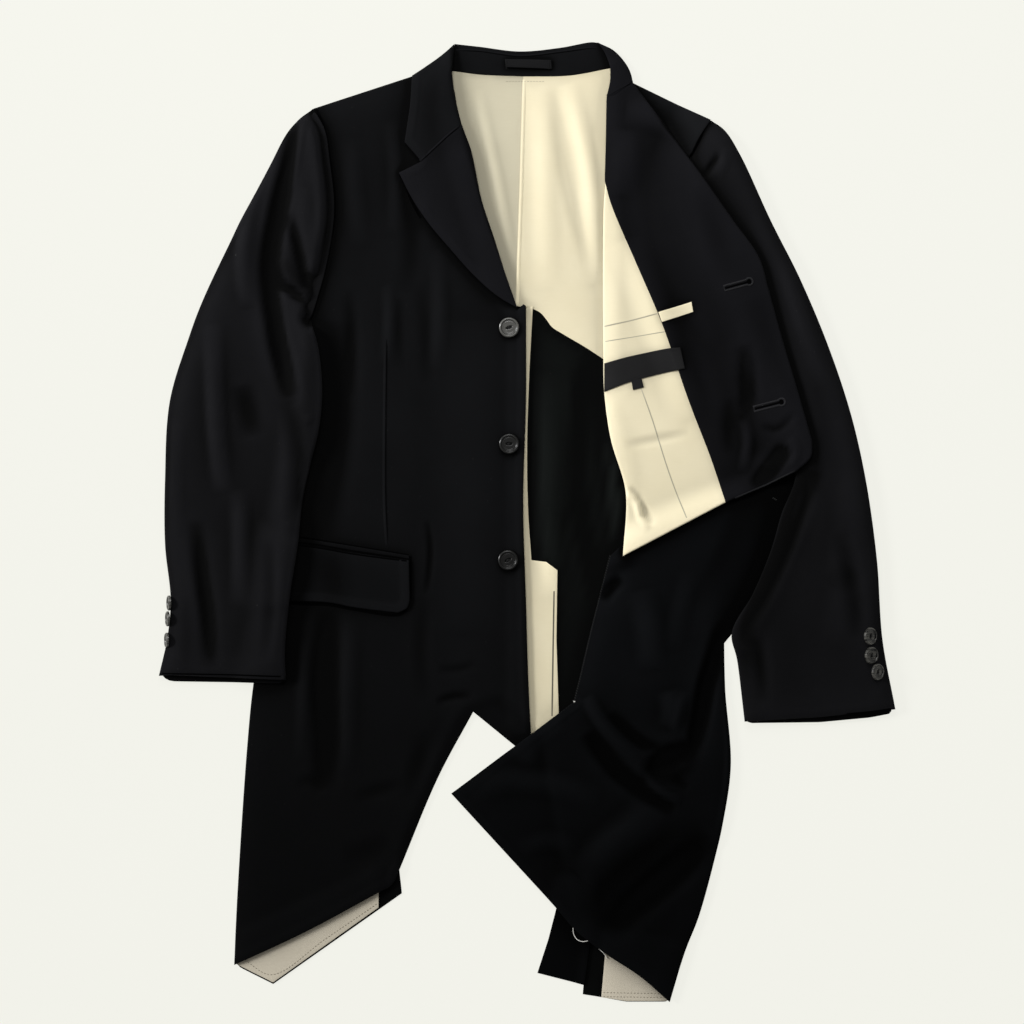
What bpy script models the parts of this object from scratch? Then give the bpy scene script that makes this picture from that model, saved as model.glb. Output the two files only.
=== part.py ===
"""Cut-out blazer, laid flat with its left front opened and turned back.

Right and left are the wearer's. +X is the wearer's left, +Y the collar, +Z up, and
the garment rests on z = 0. Lengths below are in millimetres.

Every panel is cut out of one common net of triangles by its outline and lies at the
net's heights, so panels of different layers never cross: a layer's heights are the
top of all that lies below it, the drape beyond its edges, and its own folds.
"""
from collections import namedtuple
from math import ceil, cos, hypot, pi, radians, sin

import bmesh
import bpy
import numpy as np
from mathutils import Matrix, Vector

MM = 0.001

# Walls and gaps
WOOL = 1.6
LINING = 1.0
PLY_GAP = 0.3
SEAM_GAP = 0.3

# The net, and how steeply cloth falls off the edge of what carries it
PITCH = 18.0
NET_COLUMNS = 47
NET_ROWS = 59
NET_LEFT = -414.0
NET_BOTTOM = -522.0
DRAPE_SLOPE = 0.2
CURVE_STEP = 18.0

# Buttons
FRONT_BUTTON = 21.6
SLEEVE_BUTTON = 15.0
BUTTON_THICK = 4.0
BUTTON_SIDES = 16
# The flat back's share of a button's radius
BACK_SHARE = 0.62

BLACK_WOOL = ((0.0062, 0.0062, 0.0068), 0.88)
BLACK_FACING = ((0.0075, 0.0075, 0.0083), 0.85)
CREAM = ((0.79, 0.74, 0.56), 0.75)
GREY_LINING = ((0.48, 0.44, 0.35), 0.8)
BLACK_TAPE = ((0.009, 0.009, 0.010), 0.7)
HORN = ((0.055, 0.056, 0.048), 0.35)

Edge = namedtuple("Edge", "curved points")
Panel = namedtuple("Panel", "name layer edges thick finish inset")
Fold = namedtuple("Fold", "layer x0 y0 x1 y1 bow half_width height")


def curve(*points):
    return Edge(True, points)


def straight(*points):
    return Edge(False, points)


# Edges that panels share, each from its first point to its last
EDGES = {
    # body, right half
    "shoulder_right": straight((-231, 446), (-124, 481), (-87, 497), (-81, 487)),
    "armhole_right": curve((-233, 218), (-217, 274), (-208, 335), (-213, 391), (-218, 422), (-231, 446)),
    "side_right": curve((-233, 218), (-249, 78), (-278, -73), (-295, -172), (-302, -241), (-313, -408),
                        (-316, -478)),
    "neck_right": curve((-81, 487), (-51, 483), (-4, 481)),
    "centre_back": straight((-4, 481), (-24, -181)),
    "arch_right": curve((-24, -181), (-70, -198), (-98, -252), (-126, -316), (-138, -354), (-135, -401)),
    "tail_end_right": straight((-135, -401), (-274, -499), (-316, -478)),
    # body, left half
    "neck_left": curve((-4, 481), (46, 482), (90, 490)),
    "shoulder_left": straight((90, 490), (114, 474), (198, 433)),
    "armhole_left": curve((198, 433), (184, 411), (175, 391), (170, 342), (185, 278), (228, 213)),
    "side_left_high": curve((228, 213), (272, 140), (293, 62), (285, 8), (272, -30), (252, -76), (228, -112),
                            (213, -131)),
    "side_left_low": curve((213, -131), (214, -181), (220, -262), (211, -327), (200, -374), (185, -427),
                           (170, -465), (154, -518)),
    "tail_end_left": straight((154, -518), (107, -518), (79, -513), (60, -510)),
    "arch_left": curve((60, -510), (64, -451), (49, -387), (33, -300), (19, -233), (1, -205), (-24, -181)),
    # right front
    "roll_high": curve((-81, 487), (-77, 456), (-70, 427)),
    "roll_low": curve((-70, 427), (-60, 400), (-49, 348), (-35, 305), (-22, 264), (-10, 230)),
    "break_point": straight((-10, 230), (-1, 233)),
    "front_edge": curve((-1, 233), (-1, 132), (-4, 24), (-1, -84), (2, -181), (6, -257)),
    "front_point": straight((6, -257), (-14, -241), (-58, -205)),
    "slant_cut": curve((-58, -205), (-96, -276), (-137, -374)),
    "hem_corner": curve((-137, -374), (-146, -392), (-159, -399)),
    "hem_right": curve((-159, -399), (-237, -441), (-316, -478)),
    "lining_strip_top": straight((-16, 226), (8, 233)),
    "lining_strip": curve((8, 233), (4, 153), (2, 78), (3, 13), (5, -41)),
    "lining_tongue": straight((5, -41), (21, -43), (33, -52), (32, -127), (35, -222), (6, -240),
                              (-16, -216)),
    # lapel and collar
    "lapel_top": straight((-138, 376), (-114, 388)),
    "lapel_edge": curve((-138, 376), (-125, 350), (-105, 320), (-83, 294), (-58, 266), (-32, 243),
                        (-10, 230)),
    "gorge_right": straight((-114, 388), (-86, 414), (-70, 427)),
    "collar_end": straight((-132, 409), (-114, 388)),
    "collar_outer": curve((-124, 481), (-126, 450), (-132, 409)),
    "neck_corner_right": straight((-81, 487), (-87, 497), (-124, 481)),
    "neck_corner_left": straight((114, 474), (90, 490)),
    "stand_end_right": straight((-81, 487), (-78, 516)),
    "collar_turn": curve((-124, 481), (-94, 502), (-78, 516)),
    "collar_back": curve((-78, 516), (-51, 513), (-8, 508), (36, 512), (70, 518), (77, 517)),
    "stand_end_left": curve((77, 517), (85, 504), (90, 490)),
    "collar_left_top": curve((77, 517), (92, 510), (100, 503), (109, 491), (113, 481), (114, 474)),
    "gorge_left": curve((114, 474), (108, 470), (92, 459), (86, 458)),
    "collar_left_inner": curve((86, 458), (90, 477), (90, 490)),
    # turned-back left front
    "facing_inner_high": curve((86, 458), (85, 402), (84, 367)),
    "facing_inner_low": curve((84, 367), (91, 342), (116, 283), (145, 215), (174, 132), (199, 67), (214, 21)),
    "facing_front": curve((114, 474), (144, 434), (175, 390), (219, 327), (249, 284), (259, 251), (274, 197),
                          (288, 150), (306, 87)),
    "shell_armhole": curve((198, 433), (184, 411), (175, 391)),
    "shell_front": curve((175, 391), (219, 327), (249, 284), (259, 251), (274, 197), (288, 150), (306, 87)),
    "facing_corner": curve((306, 87), (305, 70), (289, 54)),
    "facing_cut": straight((289, 54), (257, 39), (214, 21)),
    "lining_cut": straight((214, 21), (103, -37)),
    "lining_side": curve((103, -37), (106, 32), (90, 89), (83, 140), (82, 178), (82, 332), (84, 367)),
    # left skirt
    "skirt_top": straight((293, 62), (122, -6), (89, -37)),
    "skirt_front": curve((89, -37), (79, -76), (66, -127), (57, -165), (50, -194)),
    "skirt_slant": straight((50, -194), (-82, -293), (32, -417)),
    "skirt_hem": curve((32, -417), (52, -440), (84, -465), (122, -490), (154, -518)),
    "skirt_side_high": curve((213, -131), (228, -112), (252, -76), (272, -30), (285, 8), (293, 62)),
    # sleeves
    "sleeve_right_outer": curve((-231, 446), (-256, 423), (-278, 382), (-320, 301), (-351, 235), (-365, 197),
                                (-385, 130), (-390, 45), (-390, -25), (-384, -84), (-388, -127),
                                (-397, -166)),
    "cuff_right": straight((-397, -166), (-384, -165), (-259, -170)),
    "cuff_right_under": straight((-397, -166), (-384, -172), (-259, -174)),
    "sleeve_right_inner": curve((-259, -170), (-260, -138), (-255, -84), (-246, -25), (-241, 24), (-232, 65),
                                (-224, 97), (-220, 137), (-224, 186), (-233, 218)),
    "sleeve_left_outer": curve((198, 433), (213, 422), (230, 395), (262, 326), (295, 260), (324, 191),
                               (349, 116), (365, 45), (377, -41), (383, -127), (397, -202)),
    "cuff_left": straight((397, -202), (370, -204), (316, -210), (234, -215)),
    "cuff_left_under": straight((396, -206), (370, -211), (316, -216), (234, -217)),
    "sleeve_left_inner": curve((234, -215), (226, -149), (220, -119), (243, -76), (262, -30), (273, 8),
                               (289, 56), (260, 143), (228, 213)),
    # linings of the back
    "lining_back_side": curve((-81, 487), (-92, 440), (-68, 345), (-42, 264), (-20, 226)),
    "lining_back_hem_right": straight((-20, 226), (-12, 233)),
    "lining_fold": straight((-12, 233), (-4, 481)),
    "lining_back_hem_left": curve((-12, 233), (8, 229), (15, 225), (21, 218), (27, 210), (38, 203),
                                  (65, 187), (98, 165)),
    "lining_back_left": straight((98, 165), (98, 470), (90, 490)),
    # small pieces
    "tail_lining_right": straight((-314, -477), (-274, -497), (-160, -416), (-160, -376), (-310, -446)),
    "tail_lining_left": straight((85, -441), (84, -468), (80, -513), (107, -517), (151, -517), (168, -457)),
    "vent": straight((38, -387), (32, -415), (23, -450), (11, -487), (62, -500), (69, -451), (68, -387)),
    "pocket_jet": straight((-275, -14), (-231, -19), (-187, -26), (-127, -36), (-127, -41), (-187, -33),
                           (-231, -26), (-275, -22)),
    "flap_top": straight((-275, -22), (-231, -26), (-187, -33), (-127, -41)),
    "flap_front": straight((-127, -41), (-126, -84)),
    "flap_corner": curve((-126, -84), (-129, -93), (-139, -98)),
    "flap_hem": curve((-139, -98), (-187, -92), (-213, -87), (-275, -85)),
    "inside_jet": straight((141, 226), (177, 237), (179, 226), (145, 215)),
    "label": curve((82, 165), (97, 175), (122, 181), (165, 188)),
    "label_low": curve((170, 165), (126, 158), (102, 149), (83, 140)),
    "label_tab": straight((112, 153), (123, 156), (126, 145), (114, 142)),
    "hanger_loop": straight((-24, 499), (26, 498), (27, 488), (-23, 490)),
}

# Layers from the floor up
LAYERS = ("back", "inner_lining", "front_lining", "front", "pocket", "skirt", "sleeve_mid",
          "sleeve_high", "turned_shell", "turned_face", "trim")

# A minus sign runs an edge backwards
PANELS = (
    Panel("back_right", "back",
          "centre_back arch_right tail_end_right -side_right armhole_right shoulder_right neck_right",
          WOOL, BLACK_WOOL, 0),
    Panel("back_left", "back",
          "-centre_back neck_left shoulder_left armhole_left side_left_high side_left_low tail_end_left"
          " arch_left", WOOL, BLACK_WOOL, 0),
    Panel("under_collar", "back",
          "collar_turn collar_back collar_left_top neck_corner_left -neck_left -neck_right"
          " neck_corner_right",
          WOOL, BLACK_WOOL, 0),
    Panel("collar_stand", "inner_lining",
          "collar_back stand_end_left -neck_left -neck_right stand_end_right", WOOL, BLACK_WOOL, 0),
    Panel("back_lining_right", "inner_lining",
          "lining_back_side lining_back_hem_right lining_fold -neck_right", LINING, CREAM, 0),
    Panel("back_lining_left", "inner_lining",
          "-lining_fold lining_back_hem_left lining_back_left -neck_left", LINING, CREAM, 0),
    Panel("tail_lining_right", "inner_lining", "tail_lining_right", LINING, GREY_LINING, 0),
    Panel("tail_lining_left", "inner_lining", "tail_lining_left", LINING, GREY_LINING, 0),
    Panel("vent_left", "inner_lining", "vent", WOOL, BLACK_WOOL, 0),
    Panel("front_right_lining", "front_lining", "lining_strip_top lining_strip lining_tongue",
          LINING, CREAM, 0),
    Panel("front_right", "front",
          "-side_right armhole_right shoulder_right roll_high roll_low break_point front_edge front_point"
          " slant_cut hem_corner hem_right", WOOL, BLACK_WOOL, 0),
    Panel("pocket_jet_right", "pocket", "pocket_jet", LINING, BLACK_WOOL, 0),
    Panel("pocket_flap_right", "pocket", "flap_top flap_front flap_corner flap_hem", WOOL, BLACK_WOOL, 0),
    Panel("skirt_left", "skirt",
          "skirt_front skirt_slant skirt_hem -side_left_low skirt_side_high skirt_top", WOOL, BLACK_WOOL, 0),
    Panel("sleeve_right_under", "skirt",
          "sleeve_right_outer cuff_right_under sleeve_right_inner armhole_right", WOOL, BLACK_WOOL, 1.6),
    Panel("sleeve_right_top", "sleeve_mid",
          "sleeve_right_outer cuff_right sleeve_right_inner armhole_right", WOOL, BLACK_WOOL, 0),
    Panel("sleeve_left_under", "sleeve_mid",
          "sleeve_left_outer cuff_left_under sleeve_left_inner -armhole_left", WOOL, BLACK_WOOL, 1.6),
    Panel("sleeve_left_top", "sleeve_high",
          "sleeve_left_outer cuff_left sleeve_left_inner -armhole_left", WOOL, BLACK_WOOL, 0),
    Panel("lapel_right", "sleeve_high", "-lapel_top lapel_edge -roll_low -gorge_right", WOOL,
          BLACK_FACING, 0),
    Panel("collar_right", "sleeve_high",
          "collar_outer collar_end gorge_right -roll_high stand_end_right -collar_turn", WOOL,
          BLACK_FACING, 0),
    Panel("hanger_loop", "sleeve_high", "hanger_loop", LINING, BLACK_TAPE, 0),
    Panel("front_left_shell", "turned_shell",
          "shoulder_left shell_armhole shell_front facing_corner facing_cut lining_cut lining_side"
          " -facing_inner_high collar_left_inner", WOOL, BLACK_WOOL, 1.0),
    Panel("collar_left", "turned_face", "collar_left_top gorge_left collar_left_inner -stand_end_left",
          WOOL, BLACK_FACING, 0),
    Panel("front_left_facing", "turned_face",
          "facing_front facing_corner facing_cut -facing_inner_low -facing_inner_high -gorge_left",
          WOOL, BLACK_FACING, 0),
    Panel("front_left_lining", "turned_face", "facing_inner_low lining_cut lining_side", LINING, CREAM, 0),
    Panel("inside_pocket_jet", "trim", "inside_jet", LINING, CREAM, 0),
    Panel("label", "trim", "label label_low", LINING, BLACK_TAPE, 0),
    Panel("label_tab", "trim", "label_tab", LINING, BLACK_TAPE, 0.2),
)

# Largest folds: each a soft ridge along a bowed line, tapered at both ends
FOLDS = (
    # layer, from x, y, to x, y, bow, half width, height
    Fold("inner_lining", -4, 488, -6, 240, 0, 16, 1.6),
    Fold("inner_lining", 22, 478, 62, 262, 10, 20, 2.4),
    Fold("front", -126, 380, -132, 150, 0, 22, 2.0),
    Fold("front", -240, -110, -246, -330, 0, 24, 3.0),
    Fold("front", -186, -100, -196, -330, 0, 26, 3.0),
    Fold("front", -150, -330, -80, -235, 8, 24, 2.2),
    Fold("skirt", 60, -190, 128, -262, -6, 24, 4.5),
    Fold("skirt", 182, -292, 50, -372, -8, 40, 5.0),
    Fold("skirt", 176, -160, 196, -292, 6, 22, 4.0),
    Fold("skirt", 130, -452, 168, -380, 4, 26, 3.0),
    Fold("sleeve_mid", -262, 410, -345, 205, -6, 32, 6.5),
    Fold("sleeve_mid", -346, 230, -350, -190, -4, 42, 5.5),
    Fold("sleeve_mid", -236, 438, -236, 262, -10, 24, 6.5),
    Fold("sleeve_mid", -258, 246, -256, 90, -6, 28, 4.5),
    Fold("sleeve_mid", -284, 120, -292, -180, 0, 34, 3.5),
    Fold("sleeve_mid", 232, 410, 330, 132, -4, 36, 4.0),
    Fold("sleeve_mid", 330, 140, 352, -214, 4, 40, 4.0),
    Fold("sleeve_high", 204, 420, 236, 352, 0, 18, 3.0),
    Fold("sleeve_high", 292, 40, 262, -220, 0, 34, 4.0),
    Fold("turned_face", 232, 112, 226, 34, 0, 16, 3.0),
    Fold("turned_face", 250, 120, 262, 52, 0, 14, 3.0),
    Fold("turned_face", 116, 20, 134, -34, 4, 18, 3.0),
)

# Buttons: centres, and how far each turns about +Y from facing up
FRONT_BUTTONS = ((-19, 210), (-19, 84), (-21, -41))
SLEEVE_BUTTONS_LEFT = ((370, -122), (373, -144), (377, -164))
LEFT_TILT = 12.0
# The right cuff's buttons stand against the sleeve's folded edge
RIGHT_BUTTON_ROWS = (-88, -108, -128)
RIGHT_TILT = -76.0
RIGHT_LEAN = 1.4


def curve_points(points):
    """Centripetal Catmull-Rom curve through the points, sampled about CURVE_STEP apart."""
    pts = np.array(points, float)
    padded = np.vstack((2 * pts[0] - pts[1], pts, 2 * pts[-1] - pts[-2]))
    samples = []
    for before, start, end, after in zip(padded, padded[1:], padded[2:], padded[3:]):
        ta, tb, tc = (np.sqrt(hypot(*step)) for step in (start - before, end - start, after - end))
        slope_start = (start - before) / ta - (end - before) / (ta + tb) + (end - start) / tb
        slope_end = (end - start) / tb - (after - start) / (tb + tc) + (after - end) / tc
        count = max(1, ceil(hypot(*(end - start)) / CURVE_STEP))
        for s in np.arange(count) / count:
            samples.append((2 * s**3 - 3 * s**2 + 1) * start + (s**3 - 2 * s**2 + s) * tb * slope_start
                           + (3 * s**2 - 2 * s**3) * end + (s**3 - s**2) * tb * slope_end)
    samples.append(pts[-1])
    return samples


def edge_points(name):
    edge = EDGES[name.lstrip("-")]
    points = curve_points(edge.points) if edge.curved else [np.array(p, float) for p in edge.points]
    return points[::-1] if name.startswith("-") else points


def outline(panel):
    """The panel's edges joined end to end, anticlockwise, drawn in by half the seam gap."""
    points = []
    for name in panel.edges.split():
        for point in edge_points(name):
            if not points or hypot(*(point - points[-1])) > 1.0:
                points.append(point)
    if hypot(*(points[0] - points[-1])) <= 1.0:
        points.pop()
    ring = np.array(points)
    following = np.roll(ring, -1, axis=0)
    area = np.sum(ring[:, 0] * following[:, 1] - following[:, 0] * ring[:, 1])
    if area < 0:
        ring = ring[::-1]
    return draw_in(ring, panel.inset + SEAM_GAP / 2)


def draw_in(ring, distance):
    """Each corner moved inwards along its mitre, so that every side moves by the distance."""
    sides = np.roll(ring, -1, axis=0) - ring
    sides /= np.linalg.norm(sides, axis=1)[:, None]
    inward = np.column_stack((-sides[:, 1], sides[:, 0]))
    before = np.roll(inward, 1, axis=0)
    spread = np.maximum(1 + np.sum(inward * before, axis=1), 0.2)
    return ring + (inward + before) * (distance / spread)[:, None]


NET_X, NET_Y = np.meshgrid(NET_LEFT + PITCH * np.arange(NET_COLUMNS),
                           NET_BOTTOM + PITCH * np.arange(NET_ROWS))


def fold_height(fold):
    """A squared-cosine ridge about a parabola from the fold's start to its end."""
    run = np.array((fold.x1 - fold.x0, fold.y1 - fold.y0), float)
    length = hypot(*run)
    ux, uy = run / length
    dx, dy = NET_X - fold.x0, NET_Y - fold.y0
    along = (dx * ux + dy * uy) / length
    across = dx * uy - dy * ux - fold.bow * 4 * along * (1 - along)
    crest = np.cos(pi / 2 * np.clip(np.abs(across) / fold.half_width, 0, 1)) ** 2
    taper = np.sin(pi * np.clip(along, 0, 1)) ** 0.7
    return fold.height * crest * taper


def draped(carried):
    """Cloth over what carries it: at no node lower than its neighbours less the drape's fall."""
    height = carried.copy()
    reach = ceil(height.max() / (DRAPE_SLOPE * PITCH)) + 1
    for _ in range(reach):
        grown = height.copy()
        for rows, columns in ((0, 1), (0, -1), (1, 0), (-1, 0), (1, 1), (-1, -1), (1, -1), (-1, 1)):
            fall = DRAPE_SLOPE * PITCH * hypot(rows, columns)
            grown = np.maximum(grown, np.roll(height, (rows, columns), axis=(0, 1)) - fall)
        height = grown
    return height


def net_cell(x, y):
    """The net's square that holds a point, the place in it, and which of its triangles."""
    across, up = (x - NET_LEFT) / PITCH, (y - NET_BOTTOM) / PITCH
    column, row = int(across), int(up)
    u, v = across - column, up - row
    return row, column, u, v, u + v > 1


def net_height(height, x, y):
    """Height of the net's triangle over or under a point."""
    row, column, u, v, upper = net_cell(x, y)
    low_right, high_left = height[row, column + 1], height[row + 1, column]
    if upper:
        corner = height[row + 1, column + 1]
        return corner + (1 - u) * (high_left - corner) + (1 - v) * (low_right - corner)
    corner = height[row, column]
    return corner + u * (low_right - corner) + v * (high_left - corner)


def cut_flat(ring):
    """The outline as one flat face, cut along every line of the net that crosses it."""
    bm = bmesh.new()
    bm.faces.new([bm.verts.new((x, y, 0)) for x, y in ring])
    for direction in (Vector((1, 0, 0)), Vector((0, 1, 0)), Vector((1, 1, 0))):
        places = ring @ np.array(direction[:2])
        origin = NET_LEFT * direction.x + NET_BOTTOM * direction.y
        first = ceil((places.min() - origin) / PITCH)
        last = int((places.max() - origin) // PITCH)
        for line in range(first, last + 1):
            place = direction * ((origin + line * PITCH) / direction.length_squared)
            bmesh.ops.bisect_plane(bm, geom=bm.verts[:] + bm.edges[:] + bm.faces[:], dist=0.01,
                                   plane_co=place, plane_no=direction)
    return bm


def touched_nodes(bm):
    """The net's nodes at the corners of every triangle that the cut face touches."""
    touched = np.zeros(NET_X.shape, bool)
    for face in bm.faces:
        middle = face.calc_center_median()
        row, column, _, _, upper = net_cell(middle.x, middle.y)
        touched[row + 1, column] = touched[row, column + 1] = True
        touched[row + upper, column + upper] = True
    return touched


def finish_material(name, finish):
    """One Principled material for a node, its colour and roughness as given."""
    colour, roughness = finish
    material = bpy.data.materials.new(name)
    material.use_nodes = True
    shader = material.node_tree.nodes["Principled BSDF"]
    shader.inputs["Base Color"].default_value = (*colour, 1)
    shader.inputs["Roughness"].default_value = roughness
    shader.inputs["Metallic"].default_value = 0
    material.diffuse_color = (*colour, 1)
    return material


def add_object(name, bm, finish):
    bmesh.ops.scale(bm, vec=(MM, MM, MM), verts=bm.verts)
    mesh = bpy.data.meshes.new(name)
    bm.to_mesh(mesh)
    bm.free()
    mesh.materials.append(finish_material(name + "_finish", finish))
    piece = bpy.data.objects.new(name, mesh)
    bpy.context.scene.collection.objects.link(piece)
    return piece


def make_panel(panel, height):
    """A wall of even upright thickness on the net's heights, and the nodes that it touches."""
    bm = cut_flat(outline(panel))
    touched = touched_nodes(bm)
    for vert in bm.verts:
        vert.co.z = net_height(height, vert.co.x, vert.co.y)
    under = bm.faces[:]
    raised = bmesh.ops.extrude_face_region(bm, geom=under, use_keep_orig=True)["geom"]
    bmesh.ops.translate(bm, vec=(0, 0, panel.thick),
                        verts=[part for part in raised if isinstance(part, bmesh.types.BMVert)])
    bmesh.ops.recalc_face_normals(bm, faces=bm.faces)
    bmesh.ops.triangulate(bm, faces=bm.faces)
    add_object(panel.name, bm, panel.finish)
    return touched


def lay_panels():
    """Lays the layers from the floor up and returns the top of each."""
    top = np.zeros(NET_X.shape)
    tops = {}
    for layer in LAYERS:
        height = draped(np.where(top > 0, top + PLY_GAP, 0))
        for fold in FOLDS:
            if fold.layer == layer:
                height += fold_height(fold)
        above = top.copy()
        for panel in PANELS:
            if panel.layer == layer:
                touched = make_panel(panel, height)
                above[touched] = np.maximum(above[touched], height[touched] + panel.thick)
        top = above
        tops[layer] = top
    return tops


def make_button(name, diameter, place, tilt):
    """A turned disc with a raised rim and a dished face, its axis tilted about +Y."""
    radius = diameter / 2
    profile = ((0.0, 0.0), (BACK_SHARE, 0.0), (0.94, 0.22), (1.0, 0.60), (0.90, 1.0), (0.76, 0.94),
               (0.66, 0.66), (0.0, 0.60))
    bm = bmesh.new()
    path = [bm.verts.new((r * radius, 0, z * BUTTON_THICK)) for r, z in profile]
    edges = [bm.edges.new(pair) for pair in zip(path, path[1:])]
    bmesh.ops.spin(bm, geom=path + edges, axis=(0, 0, 1), cent=(0, 0, 0), angle=2 * pi, steps=BUTTON_SIDES,
                   use_merge=True)
    bmesh.ops.remove_doubles(bm, verts=bm.verts, dist=0.001)
    bmesh.ops.recalc_face_normals(bm, faces=bm.faces)
    bmesh.ops.transform(bm, matrix=Matrix.Rotation(radians(tilt), 4, "Y"), verts=bm.verts)
    bmesh.ops.translate(bm, vec=place, verts=bm.verts)
    button = add_object(name, bm, HORN)
    button.data.shade_smooth()
    button.data.set_sharp_from_angle(angle=radians(40))


def seat_height(top, x, y, diameter, tilt):
    """Height at which a tilted button's underside just clears the cloth below it."""
    seat = 0.0
    for ring in (0.0, 0.35, BACK_SHARE, 0.94):
        for step in range(BUTTON_SIDES):
            turn = 2 * pi * step / BUTTON_SIDES
            reach = ring * diameter / 2
            dx, dy = reach * cos(turn) * cos(radians(tilt)), reach * sin(turn)
            drop = reach * cos(turn) * sin(radians(tilt))
            seat = max(seat, net_height(top, x + dx, y + dy) + drop)
    return seat + PLY_GAP


def sleeve_edge(y, reach):
    """The outermost x of the right sleeve's folded edge within a reach of y."""
    edge = np.array(edge_points("-sleeve_right_outer"))
    return min(np.interp((y - reach, y, y + reach), edge[:, 1], edge[:, 0]))


def make_buttons(tops):
    for number, (x, y) in enumerate(FRONT_BUTTONS, 1):
        place = (x, y, seat_height(tops["front"], x, y, FRONT_BUTTON, 0))
        make_button(f"button_front_{number}", FRONT_BUTTON, place, 0)
    for number, (x, y) in enumerate(SLEEVE_BUTTONS_LEFT, 1):
        place = (x, y, seat_height(tops["sleeve_high"], x, y, SLEEVE_BUTTON, LEFT_TILT))
        make_button(f"button_sleeve_left_{number}", SLEEVE_BUTTON, place, LEFT_TILT)
    for number, y in enumerate(RIGHT_BUTTON_ROWS, 1):
        x = sleeve_edge(y, BACK_SHARE * SLEEVE_BUTTON / 2) - SEAM_GAP / 2 - PLY_GAP + RIGHT_LEAN
        place = (x, y, SLEEVE_BUTTON / 2 * abs(sin(radians(RIGHT_TILT))) + PLY_GAP)
        make_button(f"button_sleeve_right_{number}", SLEEVE_BUTTON, place, RIGHT_TILT)


def clear_scene():
    for piece in list(bpy.data.objects):
        bpy.data.objects.remove(piece, do_unlink=True)


clear_scene()
make_buttons(lay_panels())
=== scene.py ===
"""Cut-out blazer laid flat, its left front opened and turned back: cloth, lining, buttons and sewing.

Right and left are the wearer's. +X is the wearer's left, +Y the collar, +Z up. Lengths are in
millimetres until a mesh is written. Every panel is a thin closed shell: a grid of points between the
four sides of its outline, its height read from the field of its layer, its rim a rounded profile.
"""
from collections import namedtuple
from math import ceil, cos, hypot, pi, radians, sin

import bpy
import numpy as np
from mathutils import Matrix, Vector


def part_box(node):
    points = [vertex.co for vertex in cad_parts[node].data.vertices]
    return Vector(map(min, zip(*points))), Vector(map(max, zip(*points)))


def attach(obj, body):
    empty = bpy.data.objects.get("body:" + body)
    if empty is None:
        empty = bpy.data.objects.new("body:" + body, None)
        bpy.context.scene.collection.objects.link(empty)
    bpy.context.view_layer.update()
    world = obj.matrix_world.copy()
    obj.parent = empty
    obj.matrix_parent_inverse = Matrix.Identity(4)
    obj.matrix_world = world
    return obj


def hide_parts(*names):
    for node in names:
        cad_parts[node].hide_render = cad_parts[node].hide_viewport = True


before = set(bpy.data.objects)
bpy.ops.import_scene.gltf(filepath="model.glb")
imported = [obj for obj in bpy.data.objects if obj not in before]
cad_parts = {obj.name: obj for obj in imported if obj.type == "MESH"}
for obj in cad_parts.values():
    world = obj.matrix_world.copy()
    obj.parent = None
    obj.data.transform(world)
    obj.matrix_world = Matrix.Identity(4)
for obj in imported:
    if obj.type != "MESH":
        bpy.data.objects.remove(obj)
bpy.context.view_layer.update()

MM = 0.001

# Walls and gaps
WOOL = 1.5
LINING = 0.7
TAPE = 0.8
PLY_GAP = 0.25
SEAM_GAP = 0.3
# Sewn panels run this far into each other at a seam
SEAM_LAP = 0.35

# Spacing of points along an outline, and the least that stays between two
OUTLINE_STEP = 2.5
LEAST_STEP = 1.0

# The field of heights, and how steeply cloth falls off the edge of what carries it
FIELD_PITCH = 2.0
FIELD_LEFT, FIELD_BOTTOM = -422.0, -546.0
FIELD_COLUMNS, FIELD_ROWS = 423, 547
DRAPE_SLOPE = 0.22
DRAPE_SOFTNESS = 3.0

Edge = namedtuple("Edge", "curved points")


def curve(*points):
    """An edge with a smooth curve through its points."""
    return Edge(True, points)


def straight(*points):
    """An edge with straight sides between its points."""
    return Edge(False, points)


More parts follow.
